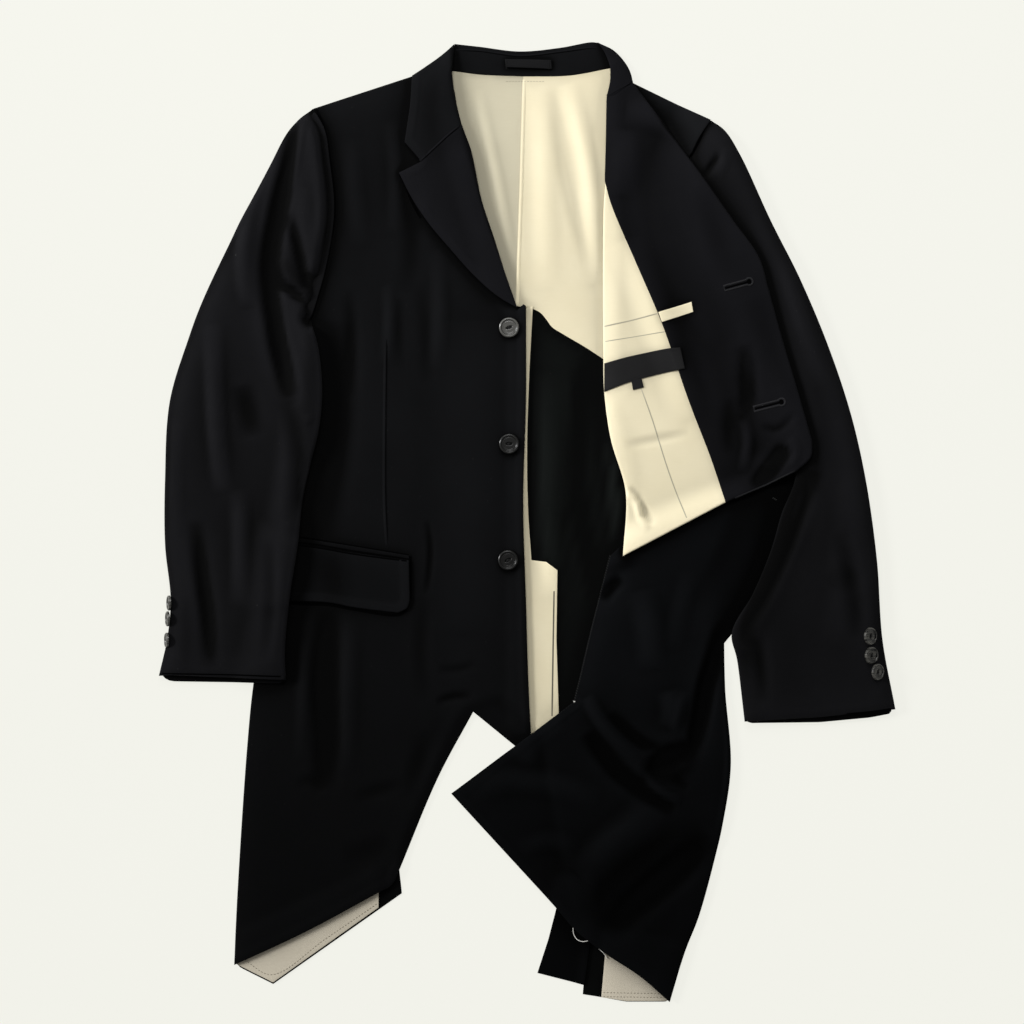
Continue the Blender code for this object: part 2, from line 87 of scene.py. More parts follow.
# Edges that panels share, each from its first point to its last
EDGES = {
    # body, right half
    "shoulder_right": straight((-231, 446), (-124, 481), (-87, 497), (-81, 487)),
    "armhole_right": curve((-233, 218), (-217, 274), (-208, 335), (-213, 391), (-218, 422), (-231, 446)),
    "side_right": curve((-233, 218), (-249, 78), (-278, -73), (-295, -172), (-302, -241), (-313, -408),
        (-316, -478)),
    "neck_right": curve((-81, 487), (-51, 483), (-4, 481)),
    "centre_back": straight((-4, 481), (-24, -181)),
    "arch_right": curve((-24, -181), (-70, -198), (-98, -252), (-126, -316), (-138, -354), (-135, -401)),
    "tail_end_right": straight((-135, -401), (-274, -499), (-316, -478)),
    # body, left half
    "neck_left": curve((-4, 481), (46, 482), (90, 490)),
    "shoulder_left": straight((90, 490), (114, 474), (198, 433)),
    "armhole_left": curve((198, 433), (184, 411), (175, 391), (170, 342), (185, 278), (228, 213)),
    "side_left_high": curve((228, 213), (272, 140), (293, 62), (285, 8), (272, -30), (252, -76), (228, -112),
        (213, -131)),
    "side_left_low": curve((213, -131), (214, -181), (220, -262), (211, -327), (200, -374), (185, -427),
        (170, -465), (154, -518)),
    "tail_end_left": straight((154, -518), (107, -518), (79, -513), (60, -510)),
    "arch_left": curve((60, -510), (64, -451), (49, -387), (33, -300), (19, -233), (1, -205), (-24, -181)),
    # right front
    "roll_high": curve((-81, 487), (-77, 456), (-70, 427)),
    "roll_low": curve((-70, 427), (-60, 400), (-49, 348), (-35, 305), (-22, 264), (-10, 230)),
    "break_point": straight((-10, 230), (-4, 235), (-1, 233)),
    "front_edge": curve((-1, 233), (-1, 132), (-4, 24), (-1, -84), (2, -181), (6, -257)),
    "front_point": straight((6, -257), (-14, -241), (-58, -205)),
    "slant_cut": curve((-58, -205), (-96, -276), (-137, -374)),
    "hem_corner": curve((-137, -374), (-146, -392), (-159, -399)),
    "hem_right": curve((-159, -399), (-237, -441), (-316, -478)),
    "lining_strip_top": straight((-16, 226), (6.5, 233)),
    "lining_strip": curve((6.5, 233), (2.4, 153), (0.3, 78), (1.4, 13), (5, -41)),
    "lining_tongue": straight((5, -41), (21, -43), (33, -52), (32, -127), (35, -222), (6, -240),
        (-16, -216)),
    # lapel and collar
    "lapel_top": straight((-138, 376), (-114, 388)),
    "lapel_edge": curve((-138, 376), (-125, 350), (-105, 320), (-83, 294), (-58, 266), (-32, 243),
        (-10, 230)),
    "gorge_right": straight((-114, 388), (-86, 414), (-70, 427)),
    "collar_end": straight((-132, 409), (-114, 388)),
    "collar_outer": curve((-124, 481), (-126, 450), (-132, 409)),
    "neck_corner_right": straight((-81, 487), (-87, 497), (-124, 481)),
    "neck_corner_left": straight((114, 474), (90, 490)),
    "stand_end_right": straight((-81, 487), (-78, 516)),
    "collar_turn": curve((-124, 481), (-94, 502), (-78, 516)),
    "collar_back": curve((-78, 516), (-51, 513), (-8, 508), (36, 512), (70, 518), (77, 517)),
    "stand_end_left": curve((77, 517), (85, 504), (90, 490)),
    "collar_left_top": curve((77, 517), (92, 510), (100, 503), (109, 491), (113, 481), (114, 474)),
    "gorge_left": curve((114, 474), (108, 470), (92, 459), (86, 458)),
    "collar_left_inner": curve((86, 458), (90, 477), (90, 490)),
    # turned-back left front
    "facing_inner_high": curve((86, 458), (85, 402), (84, 367)),
    "facing_inner_low": curve((84, 367), (91, 342), (116, 283), (145, 215), (174, 132), (199, 67),
        (214, 21)),
    "facing_front": curve((114, 474), (144, 434), (175, 390), (219, 327), (249, 284), (259, 251), (274, 197),
        (288, 150), (306, 87)),
    "shell_armhole": curve((198, 433), (184, 411), (175, 391)),
    "shell_front": curve((175, 391), (219, 327), (249, 284), (259, 251), (274, 197), (288, 150), (306, 87)),
    "facing_corner": curve((306, 87), (305, 70), (289, 54)),
    "facing_cut": straight((289, 54), (257, 39), (214, 21)),
    "lining_cut": straight((214, 21), (103, -37)),
    "lining_side": curve((103, -37), (106, 32), (90, 89), (83, 140), (82, 178), (82, 332), (84, 367)),
    # left skirt
    "skirt_top": straight((293, 62), (122, -6), (89, -37)),
    "skirt_front": curve((89, -37), (79, -76), (66, -127), (57, -165), (50, -194)),
    "skirt_slant": straight((50, -194), (-82, -293), (32, -417)),
    "skirt_hem": curve((32, -417), (52, -440), (84, -465), (122, -490), (154, -518)),
    "skirt_side_high": curve((213, -131), (228, -112), (252, -76), (272, -30), (285, 8), (293, 62)),
    # sleeves
    "sleeve_right_outer": curve((-231, 446), (-256, 423), (-278, 382), (-320, 301), (-351, 235), (-365, 197),
        (-385, 130), (-390, 45), (-390, -25), (-384, -84), (-388, -127),
        (-397, -166)),
    "cuff_right": straight((-397, -166), (-384, -165), (-259, -170)),
    "cuff_right_under": straight((-397, -166), (-384, -172), (-259, -174)),
    "sleeve_right_inner": curve((-259, -170), (-260, -138), (-255, -84), (-246, -25), (-241, 24), (-232, 65),
        (-224, 97), (-220, 137), (-224, 186), (-233, 218)),
    "sleeve_left_outer": curve((198, 433), (213, 422), (230, 395), (262, 326), (295, 260), (324, 191),
        (349, 116), (365, 45), (377, -41), (383, -127), (397, -202)),
    "cuff_left": straight((397, -202), (370, -204), (316, -210), (234, -215)),
    "cuff_left_under": straight((396, -206), (370, -211), (316, -216), (234, -217)),
    "sleeve_left_inner": curve((234, -215), (226, -149), (220, -119), (243, -76), (262, -30), (273, 8),
        (289, 56), (260, 143), (228, 213)),
    # linings of the back
    "lining_back_side": curve((-81, 487), (-92, 440), (-68, 345), (-42, 264), (-20, 226)),
    "lining_back_hem_right": straight((-20, 226), (-12, 233)),
    "lining_fold": straight((-12, 233), (-4, 481)),
    "lining_back_hem_left": curve((-12, 233), (8, 229), (15, 225), (21, 218), (27, 210), (38, 203),
        (65, 187), (98, 165)),
    "lining_back_left": straight((98, 165), (98, 470), (90, 490)),
    # small pieces
    "tail_lining_right": straight((-314, -477), (-274, -497), (-160, -416), (-160, -376), (-310, -446)),
    "tail_lining_left": straight((85, -441), (84, -468), (80, -513), (107, -517), (151, -517), (168, -457)),
    "vent": straight((38, -387), (32, -415), (23, -450), (11, -487), (62, -500), (69, -451), (68, -387)),
    "pocket_jet": straight((-275, -14), (-231, -19), (-187, -26), (-127, -36), (-127, -41), (-187, -33),
        (-231, -26), (-275, -22)),
    "flap_top": straight((-275, -22), (-231, -26), (-187, -33), (-127, -41)),
    "flap_front": straight((-127, -41), (-126, -84)),
    "flap_corner": curve((-126, -84), (-129, -93), (-139, -98)),
    "flap_hem": curve((-139, -98), (-187, -92), (-213, -87), (-275, -85)),
    "inside_jet": straight((141, 226), (177, 237), (179, 226), (145, 215)),
    "label": curve((83, 171), (108, 178), (131, 183), (152, 187), (165, 188)),
    "label_low": curve((170, 165), (138, 158), (109, 150), (83, 140)),
    "label_tab": straight((112, 153), (123, 156), (126, 145), (114, 142)),
    "hanger_loop": straight((-24, 499), (26, 498), (27, 488), (-23, 490)),
}

# Layers from the floor up, and how far the cloth of each stands off what it lies on
LAYERS = {"back": 0.0, "inner_lining": 1.0, "front_lining": 0.3, "front": 2.6, "pocket": 0.2,
          "skirt": 4.0, "sleeve_mid": 7.0, "sleeve_high": 4.0, "turned_shell": 0.8,
          "turned_face": 2.0, "trim": 0.2}
LOFT_SOFTNESS = 9.0

Panel = namedtuple("Panel", "name layer edges corners ties spacing thick cloth slot rolled wraps tucked"
                            " tuck turned")


def panel(name, layer, edges, corners, cloth, slot, thick=WOOL, spacing=4.0, ties=(), rolled="",
          wraps="back", tucked="", tuck=3.0, turned=""):
    """A panel of cloth, with the usual wall, spacing and edges where nothing else is given."""
    return Panel(name, layer, edges, corners, ties, spacing, thick, cloth, slot, rolled.split(), wraps,
                 tucked.split(), tuck, turned.split())


# Each panel gives its outline's edges, a minus sign running an edge backwards, and the points of the
# outline where its south, east, north and west sides begin
PANELS = (
    panel("back_right", "back",
          "centre_back arch_right tail_end_right -side_right armhole_right shoulder_right neck_right",
          ((-316, -478), (-135, -401), (-4, 481), (-231, 446)), "wool_inside", "black_wool",
          tucked="side_right shoulder_right", spacing=6.0),
    panel("back_left", "back",
          "-centre_back neck_left shoulder_left armhole_left side_left_high side_left_low"
          " tail_end_left arch_left",
          ((60, -510), (154, -518), (198, 433), (-4, 481)), "wool_inside", "black_wool",
          tucked="side_left_low side_left_high", spacing=6.0),
    panel("under_collar", "back",
          "collar_turn collar_back collar_left_top neck_corner_left -neck_left -neck_right"
          " neck_corner_right",
          ((-124, 481), (114, 474), (113, 481), (-112, 488)), "wool", "black_wool",
          tucked="collar_turn collar_back collar_left_top", tuck=2.4),
    panel("collar_stand", "inner_lining",
          "collar_back stand_end_left -neck_left -neck_right stand_end_right",
          ((-81, 487), (90, 490), (77, 517), (-78, 516)), "wool", "black_wool",
          rolled="collar_back", spacing=2.5),
    panel("back_lining_right", "inner_lining",
          "lining_back_side lining_back_hem_right lining_fold -neck_right",
          ((-20, 226), (-12, 233), (-4, 481), (-81, 487)), "cream_shaded", "cream_lining", LINING,
          spacing=2.5),
    panel("back_lining_left", "inner_lining",
          "-lining_fold lining_back_hem_left lining_back_left -neck_left",
          ((-12, 233), (98, 165), (90, 490), (-4, 481)), "cream", "cream_lining", LINING, spacing=2.5),
    panel("tail_lining_right", "inner_lining",
          "tail_lining_right",
          ((-314, -477), (-160, -416), (-160, -376), (-310, -446)), "grey", "grey_lining", LINING,
          spacing=2.5),
    panel("tail_lining_left", "inner_lining",
          "tail_lining_left",
          ((80, -513), (151, -517), (168, -457), (85, -441)), "grey", "grey_lining", LINING, spacing=2.5),
    panel("vent_left", "inner_lining",
          "vent",
          ((11, -487), (62, -500), (68, -387), (38, -387)), "skirt", "black_wool", spacing=3.0),
    panel("front_right_lining", "front_lining",
          "lining_strip_top lining_strip lining_tongue",
          ((-16, -216), (35, -222), (6.5, 233), (-16, 226)), "cream", "cream_lining", LINING,
          ties=(((-16, -62), (33, -52)), ((-16, -50), (5, -41))), spacing=2.5),
    panel("front_right", "front",
          "-side_right armhole_right shoulder_right roll_high roll_low break_point front_edge"
          " front_point slant_cut hem_corner hem_right",
          ((-316, -478), (6, -257), (-1, 233), (-231, 446)), "wool", "black_wool",
          rolled="side_right shoulder_right", tucked="roll_high roll_low", tuck=2.4,
          turned="front_edge hem_right hem_corner"),
    panel("pocket_jet_right", "pocket",
          "pocket_jet",
          ((-275, -22), (-127, -41), (-127, -36), (-275, -14)), "wool", "black_wool", LINING,
          spacing=2.0),
    panel("pocket_flap_right", "pocket",
          "flap_top flap_front flap_corner flap_hem",
          ((-275, -85), (-139, -98), (-127, -41), (-275, -22)), "wool", "black_wool", 2.0,
          spacing=2.5, turned="flap_hem flap_front flap_corner"),
    panel("skirt_left", "skirt",
          "skirt_front skirt_slant skirt_hem -side_left_low skirt_side_high skirt_top",
          ((-82, -293), (154, -518), (293, 62), (89, -37)), "skirt", "black_wool",
          rolled="side_left_low skirt_side_high", turned="skirt_hem skirt_slant"),
    panel("sleeve_right_under", "skirt",
          "sleeve_right_outer cuff_right_under sleeve_right_inner armhole_right",
          ((-397, -166), (-259, -174), (-218, 422), (-256, 423)), "sleeve", "black_wool",
          tucked="sleeve_right_outer sleeve_right_inner", tuck=5.0, spacing=5.0),
    panel("sleeve_right_top", "sleeve_mid",
          "sleeve_right_outer cuff_right sleeve_right_inner armhole_right",
          ((-397, -166), (-259, -170), (-218, 422), (-256, 423)), "sleeve", "black_wool",
          rolled="sleeve_right_outer sleeve_right_inner", wraps="skirt", turned="cuff_right",
          spacing=3.5),
    panel("sleeve_left_under", "sleeve_mid",
          "sleeve_left_outer cuff_left_under sleeve_left_inner -armhole_left",
          ((234, -217), (396, -206), (230, 395), (184, 411)), "sleeve", "black_wool",
          tucked="sleeve_left_outer sleeve_left_inner", tuck=5.0, spacing=5.0),
    panel("sleeve_left_top", "sleeve_high",
          "sleeve_left_outer cuff_left sleeve_left_inner -armhole_left",
          ((234, -215), (397, -202), (230, 395), (184, 411)), "sleeve", "black_wool",
          rolled="sleeve_left_outer sleeve_left_inner", wraps="sleeve_mid", turned="cuff_left",
          spacing=3.5),
    panel("lapel_right", "sleeve_high",
          "-lapel_top lapel_edge -roll_low -gorge_right",
          ((-10, 230), (-13, 240), (-70, 427), (-138, 376)), "facing", "black_wool", 1.8,
          rolled="roll_low", wraps="front", turned="lapel_edge lapel_top", spacing=3.0),
    panel("collar_right", "sleeve_high",
          "collar_outer collar_end gorge_right -roll_high stand_end_right -collar_turn",
          ((-132, 409), (-70, 427), (-78, 516), (-124, 481)), "wool", "black_wool", 1.8,
          rolled="roll_high collar_turn", turned="collar_outer collar_end", spacing=3.0),
    panel("hanger_loop", "sleeve_high",
          "hanger_loop",
          ((-23, 490), (27, 488), (26, 498), (-24, 499)), "tape", "black_tape", TAPE, spacing=1.5),
    panel("front_left_shell", "turned_shell",
          "shoulder_left shell_armhole shell_front facing_corner facing_cut lining_cut lining_side"
          " -facing_inner_high collar_left_inner",
          ((103, -37), (289, 54), (198, 433), (90, 490)), "wool", "black_wool",
          tucked="shell_front facing_corner facing_cut lining_cut lining_side", tuck=2.4, spacing=5.0),
    panel("collar_left", "turned_face",
          "collar_left_top gorge_left collar_left_inner -stand_end_left",
          ((86, 458), (114, 474), (77, 517), (81, 511)), "facing", "black_wool", 1.8,
          rolled="collar_left_top", spacing=2.5),
    panel("front_left_facing", "turned_face",
          "facing_front facing_corner facing_cut -facing_inner_low -facing_inner_high -gorge_left",
          ((214, 21), (289, 54), (114, 474), (86, 458)), "facing", "black_wool",
          rolled="facing_front facing_corner facing_cut", wraps="turned_shell", spacing=3.0),
    panel("front_left_lining", "turned_face",
          "facing_inner_low lining_cut lining_side",
          ((103, -37), (214, 21), (84, 367), (82, 355)), "cream", "cream_lining", LINING,
          rolled="lining_side lining_cut", wraps="turned_shell", spacing=2.5),
    panel("inside_pocket_jet", "trim",
          "inside_jet",
          ((145, 215), (179, 226), (177, 237), (141, 226)), "cream", "cream_lining", LINING, spacing=1.5),
    panel("label", "trim",
          "label label_low",
          ((83, 140), (170, 165), (165, 188), (83, 171)), "label_tape", "black_tape", TAPE, spacing=1.5),
    panel("label_tab", "trim",
          "label_tab",
          ((114, 142), (126, 145), (123, 156), (112, 153)), "label_tape", "black_tape", TAPE,
          spacing=1.5),
)

# Each layer's folds, tapered at both ends: half width, height (below zero for a trough) and the places
# that the curve runs through
FOLDS = {
    "back": (
        (14, -4.8, ((59, 168), (56, 110), (55, 56), (59, 2), (68, -46), (79, -89))),
        (19, 4.8, ((21, 162), (22, 89), (23, 2), (29, -84))),
        (14, 5.2, ((87, 132), (93, 78), (97, 24), (99, -30))),
    ),
    "inner_lining": (
        (20, 2.0, ((12, 471), (16, 402), (18, 326), (21, 251))),
        (17, 3.6, ((42, 473), (55, 423), (66, 369), (72, 305), (75, 251))),
        (12, -1.2, ((27, 467), (36, 402), (51, 332), (66, 281), (72, 240))),
        (9, 1.2, ((-53, 467), (-44, 423), (-32, 369), (-22, 315), (-14, 272))),
    ),
    "front": (
        (10, 2.1, ((-150, 256), (-149, 213), (-152, 166))),
        (18, -1.8, ((-129, 375), (-124, 321), (-127, 267), (-133, 240))),
        (13, 1.8, ((-146, 434), (-141, 369), (-143, 305))),
        (14, 1.8, ((-98, 294), (-94, 229), (-98, 164))),
        (8, -0.8, ((-137, 244), (-137, 202), (-136, 162))),
        (12, -1.0, ((-116, 259), (-110, 207), (-108, 145))),
        (12, -1.8, ((-193, 251), (-189, 197), (-191, 132))),
        (16, 1.6, ((-191, 413), (-186, 348), (-178, 294))),
        (6, -1.8, ((-108, 2), (-104, -25), (-105, -52), (-109, -80))),
        (14, -1.2, ((-110, -82), (-114, -138), (-109, -194))),
        (22, -6.4, ((-213, -93), (-217, -171), (-215, -235), (-218, -292))),
        (11, 1.8, ((-241, -127), (-242, -192), (-244, -257))),
        (15, 2.3, ((-191, -106), (-193, -181), (-194, -268))),
        (11, -1.2, ((-248, -285), (-234, -279), (-217, -292))),
        (12, -1.4, ((-185, -298), (-167, -292), (-150, -287), (-133, -282))),
        (20, -1.6, ((-199, -361), (-170, -355), (-139, -341))),
        (7, -2.3, ((-98, -194), (-78, -188), (-55, -187))),
        (7, -1.3, ((-96, -159), (-72, -158), (-49, -151))),
        (18, -1.4, ((-111, -222), (-116, -261), (-129, -300))),
        (28, -3.6, ((-206, 218), (-203, 153), (-206, 89), (-215, 24), (-224, -25))),
        (62, 3.2, ((-57, 218), (-57, 110), (-59, 2), (-66, -127))),
    ),
    "pocket": (
        (22, -2.2, ((-221, -30), (-218, -63), (-213, -91))),
    ),
    "skirt": (
        (15, -6.5, ((213, -108), (203, -144), (194, -176), (188, -208), (180, -241), (172, -264))),
        (9, 2.2, ((170, -181), (164, -208), (157, -231))),
        (11, -3.4, ((90, -205), (106, -222), (124, -237), (144, -244), (162, -240))),
        (12, 6.6, ((64, -188), (79, -214), (98, -235), (118, -254), (129, -268))),
        (15, -7.4, ((64, -227), (79, -246), (100, -270), (122, -287), (144, -302), (163, -310))),
        (17, -8.0, ((131, -272), (141, -261), (154, -254), (167, -246), (178, -235))),
        (8, 4.4, ((127, -280), (145, -292), (165, -302))),
        (18, 3.6, ((152, -181), (157, -205), (152, -227))),
        (10, 3.0, ((216, -192), (220, -246), (216, -300), (206, -343))),
        (10, -1.6, ((157, -276), (174, -287))),
        (30, 6.6, ((144, -305), (113, -332), (83, -357), (55, -387))),
        (26, -8.0, ((202, -341), (170, -367), (137, -395), (105, -423), (85, -449))),
        (20, 2.6, ((-62, -292), (-18, -279), (36, -285), (79, -300))),
        (16, 2.1, ((-8, -354), (25, -343), (57, -354))),
        (22, 2.6, ((122, -73), (131, -117), (133, -160))),
        (24, 1.6, ((254, 48), (239, -3), (216, -57), (193, -100), (184, -133))),
        (12, -4.2, ((81, -86), (91, -70), (105, -58))),
        (16, 1.2, ((176, -52), (165, -95), (157, -138))),
    ),
    "sleeve_mid": (
        (16, -12.5, ((-243, 430), (-252, 402), (-258, 375), (-264, 350), (-269, 324), (-274, 296),
              (-276, 272), (-275, 245), (-271, 218), (-267, 191), (-261, 166), (-255, 145), (-246, 123))),
        (15, 6.0, ((-282, 386), (-292, 359), (-299, 332), (-303, 299), (-303, 261), (-299, 229))),
        (7, 3.4, ((-240, 434), (-244, 407), (-248, 380), (-254, 353))),
        (8, 1.4, ((-264, 309), (-271, 285), (-272, 256), (-267, 231), (-258, 207), (-248, 180),
              (-241, 153), (-235, 123))),
        (10, -8.5, ((-270, 274), (-262, 255), (-251, 246), (-241, 237), (-234, 225))),
        (12, -6.5, ((-243, 257), (-232, 260), (-221, 267))),
        (11, -7, ((-256, 332), (-249, 305), (-243, 281), (-235, 256), (-226, 240))),
        (13, 2.3, ((-241, 359), (-239, 321), (-230, 285))),
        (15, 5.4, ((-338, 213), (-336, 148), (-333, 89), (-327, 29))),
        (20, -3.1, ((-306, 148), (-299, 119), (-293, 86))),
        (15, 3.2, ((-310, 35), (-308, -19), (-310, -91))),
        (14, -5.0, ((-356, 2), (-348, -63), (-342, -106), (-340, -158))),
        (18, -6.5, ((-254, 132), (-247, 99), (-244, 67), (-245, 29), (-252, -9))),
        (18, 2.5, ((-286, 402), (-303, 364), (-320, 321), (-333, 281))),
        (9, 2.1, ((-239, 110), (-230, 104))),
        (12, -2.6, ((-275, -19), (-274, -84), (-280, -153))),
        (12, 2.1, ((-377, 110), (-379, 45), (-375, -19))),
    ),
    "sleeve_high": (
        (6, -2.6, ((207, 397), (199, 384), (188, 369))),
        (9, 1.4, ((215, 402), (211, 384), (200, 367))),
        (22, -11.0, ((303, 58), (294, 32), (284, 8), (272, -22), (258, -54), (244, -82), (231, -108),
              (232, -138))),
        (22, -1.2, ((329, -76), (340, -63), (351, -48))),
        (12, -2.3, ((248, -123), (252, -160), (255, -199))),
        (26, 2.2, ((351, 56), (345, -9), (340, -73), (329, -138))),
        (16, -2.6, ((338, -9), (349, -63), (357, -127))),
        (14, 1.8, ((273, 294), (295, 218), (319, 143))),
    ),
    "turned_face": (
        (14, -3.4, ((233, 191), (237, 159), (237, 130), (230, 117))),
        (26, -2.0, ((243, 240), (258, 191), (273, 137))),
        (12, -1.4, ((217, 134), (216, 99), (218, 69))),
        (9, 3.2, ((232, 112), (237, 86), (232, 54))),
        (22, 3.4, ((106, 443), (144, 436), (187, 413))),
        (22, 3.0, ((105, 423), (105, 386), (100, 348))),
        (14, -7.5, ((279, 81), (268, 66), (257, 51), (247, 36))),
        (7, -1.8, ((252, 104), (268, 100), (280, 109), (288, 123))),
        (9, 2.3, ((280, 91), (288, 76), (284, 58))),
        (20, -1.4, ((187, 359), (204, 305), (221, 251))),
        (9, 4.2, ((103, 32), (116, 24), (125, 2))),
        (7, -3.2, ((109, 37), (119, 27), (127, 11), (139, -6))),
        (7, 3.0, ((118, 24), (122, 4), (135, -11))),
        (8, -1.3, ((105, 83), (138, 89), (178, 97))),
        (26, 3.2, ((107, 305), (129, 240), (152, 175), (176, 110))),
    ),
}

# The power of the sine that tapers a fold to its ends
FOLD_TAPER = 0.7
# How far from the armhole seam the sleeve eases to the front's height, and how far it is looked for
ARMHOLE_BLEND, ARMHOLE_NEAR = 15.0, 80.0


def curve_points(points):
    """Centripetal Catmull-Rom curve: cubic Hermite pieces with tangents from the points' root spacing."""
    pts = np.array(points, float)
    padded = np.vstack((2 * pts[0] - pts[1], pts, 2 * pts[-1] - pts[-2]))
    pieces = []
    for before, start, end, after in zip(padded, padded[1:], padded[2:], padded[3:]):
        ta, tb, tc = (np.sqrt(hypot(*step)) for step in (start - before, end - start, after - end))
        slope_start = (start - before) / ta - (end - before) / (ta + tb) + (end - start) / tb
        slope_end = (end - start) / tb - (after - start) / (tb + tc) + (after - end) / tc
        count = max(1, ceil(hypot(*(end - start)) / OUTLINE_STEP))
        s = (np.arange(count) / count)[:, None]
        pieces.append((2 * s**3 - 3 * s**2 + 1) * start + (s**3 - 2 * s**2 + s) * tb * slope_start
                      + (3 * s**2 - 2 * s**3) * end + (s**3 - s**2) * tb * slope_end)
    return np.vstack(pieces + [pts[-1:]])


def line_points(points):
    """Even points along each straight side, its corners kept."""
    pts = np.array(points, float)
    pieces = [start + (end - start) * (np.arange(count) / count)[:, None]
              for start, end in zip(pts, pts[1:])
              for count in [max(1, ceil(hypot(*(end - start)) / OUTLINE_STEP))]]
    return np.vstack(pieces + [pts[-1:]])


def edge_points(name):
    """Points along an edge, from its last to its first where its name has a minus before it."""
    edge = EDGES[name.lstrip("-")]
    points = curve_points(edge.points) if edge.curved else line_points(edge.points)
    return points[::-1] if name.startswith("-") else points


def signed_area(ring):
    """Area of a flat ring: above zero where it runs anticlockwise."""
    following = np.roll(ring, -1, axis=0)
    return np.sum(ring[:, 0] * following[:, 1] - following[:, 0] * ring[:, 1]) / 2


def ring_points(edges):
    """The outline's points anticlockwise, and the name of the edge that each belongs to. Where the last
    edge ends short of the first, an unnamed straight side closes the outline."""
    names = [name.lstrip("-") for name in edges.split()]
    runs = [edge_points(name) for name in edges.split()]
    if hypot(*(runs[-1][-1] - runs[0][0])) > OUTLINE_STEP:
        names.append("")
        runs.append(line_points((runs[-1][-1], runs[0][0])))
    ring, owners = np.vstack(runs), np.repeat(names, [len(run) for run in runs])
    keep = np.hypot(*(ring - np.roll(ring, -1, axis=0)).T) > LEAST_STEP
    ring, owners = ring[keep], owners[keep]
    if signed_area(ring) < 0:
        ring, owners = ring[::-1], owners[::-1]
    return ring, owners


def drawn_in(ring, distance):
    """Each point moved in along its mitre by its own distance. Points that come nearer to a side than
    that side's distance are dropped, and a straight run joins those that stay."""
    sides = np.roll(ring, -1, axis=0) - ring
    lengths = np.linalg.norm(sides, axis=1)
    inward = np.column_stack((-sides[:, 1], sides[:, 0])) / lengths[:, None]
    before = np.roll(inward, 1, axis=0)
    spread = np.maximum(1 + np.sum(inward * before, axis=1), 0.25)
    moved = ring + (inward + before) * (distance / spread)[:, None]
    dx, dy = moved[:, :1] - ring[:, 0], moved[:, 1:] - ring[:, 1]
    share = np.clip((dx * sides[:, 0] + dy * sides[:, 1]) / lengths**2, 0, 1)
    gap = np.hypot(dx - share * sides[:, 0], dy - share * sides[:, 1])
    needed = (1 - share) * distance + share * np.roll(distance, -1)
    keep = np.nonzero(np.all(gap > 0.9 * needed - 0.05, axis=1))[0]
    count = len(ring)
    index = np.concatenate((keep - count, keep, keep + count))
    return np.column_stack([np.interp(np.arange(count), index, np.tile(moved[keep, axis], 3))
                            for axis in (0, 1)])


FIELD_X, FIELD_Y = np.meshgrid(FIELD_LEFT + FIELD_PITCH * np.arange(FIELD_COLUMNS),
                               FIELD_BOTTOM + FIELD_PITCH * np.arange(FIELD_ROWS))


def covered(ring):
    """Cells of the field inside a ring: those with an odd number of its sides to their left."""
    start, end = ring, np.roll(ring, -1, axis=0)
    rows = FIELD_Y[:, :1]
    crosses = (start[:, 1] <= rows) != (end[:, 1] <= rows)
    rise = np.where(end[:, 1] == start[:, 1], 1.0, end[:, 1] - start[:, 1])
    where = start[:, 0] + (rows - start[:, 1]) / rise * (end[:, 0] - start[:, 0])
    columns = np.clip(np.ceil((where - FIELD_LEFT) / FIELD_PITCH).astype(int), 0, FIELD_COLUMNS)
    turns = np.zeros((FIELD_ROWS, FIELD_COLUMNS + 1), int)
    hit = np.nonzero(crosses)
    np.add.at(turns, (hit[0], columns[hit]), 1)
    return np.cumsum(turns, axis=1)[:, :FIELD_COLUMNS] % 2 == 1


def soften(field, reach):
    """The field blurred by a bell curve of the given reach, through its waves."""
    across = np.fft.rfftfreq(FIELD_COLUMNS, FIELD_PITCH)
    up = np.fft.fftfreq(FIELD_ROWS, FIELD_PITCH)[:, None]
    passed = np.exp(-2 * (pi * reach) ** 2 * (across**2 + up**2))
    return np.fft.irfft2(np.fft.rfft2(field) * passed, s=field.shape)


def grown(field, fall):
    """One cell's growth: each cell at least its eight neighbours less the fall on the way."""
    out = field.copy()
    for rows, columns in ((0, 1), (0, -1), (1, 0), (-1, 0), (1, 1), (-1, -1), (1, -1), (-1, 1)):
        out = np.maximum(out, np.roll(field, (rows, columns), axis=(0, 1)) - fall * hypot(rows, columns))
    return out


def draped(support):
    """Cloth over what carries it: it falls off each edge at the drape's slope, softly."""
    height = support
    for _ in range(ceil(support.max() / (DRAPE_SLOPE * FIELD_PITCH)) + 1):
        height = grown(height, DRAPE_SLOPE * FIELD_PITCH)
    return soften(height, DRAPE_SOFTNESS)


def read(field, x, y):
    """The field's height at points, linear across each cell."""
    u = np.clip((x - FIELD_LEFT) / FIELD_PITCH, 0, FIELD_COLUMNS - 1.001)
    v = np.clip((y - FIELD_BOTTOM) / FIELD_PITCH, 0, FIELD_ROWS - 1.001)
    column, row = u.astype(int), v.astype(int)
    u, v = u - column, v - row
    return ((1 - v) * ((1 - u) * field[row, column] + u * field[row, column + 1])
            + v * ((1 - u) * field[row + 1, column] + u * field[row + 1, column + 1]))


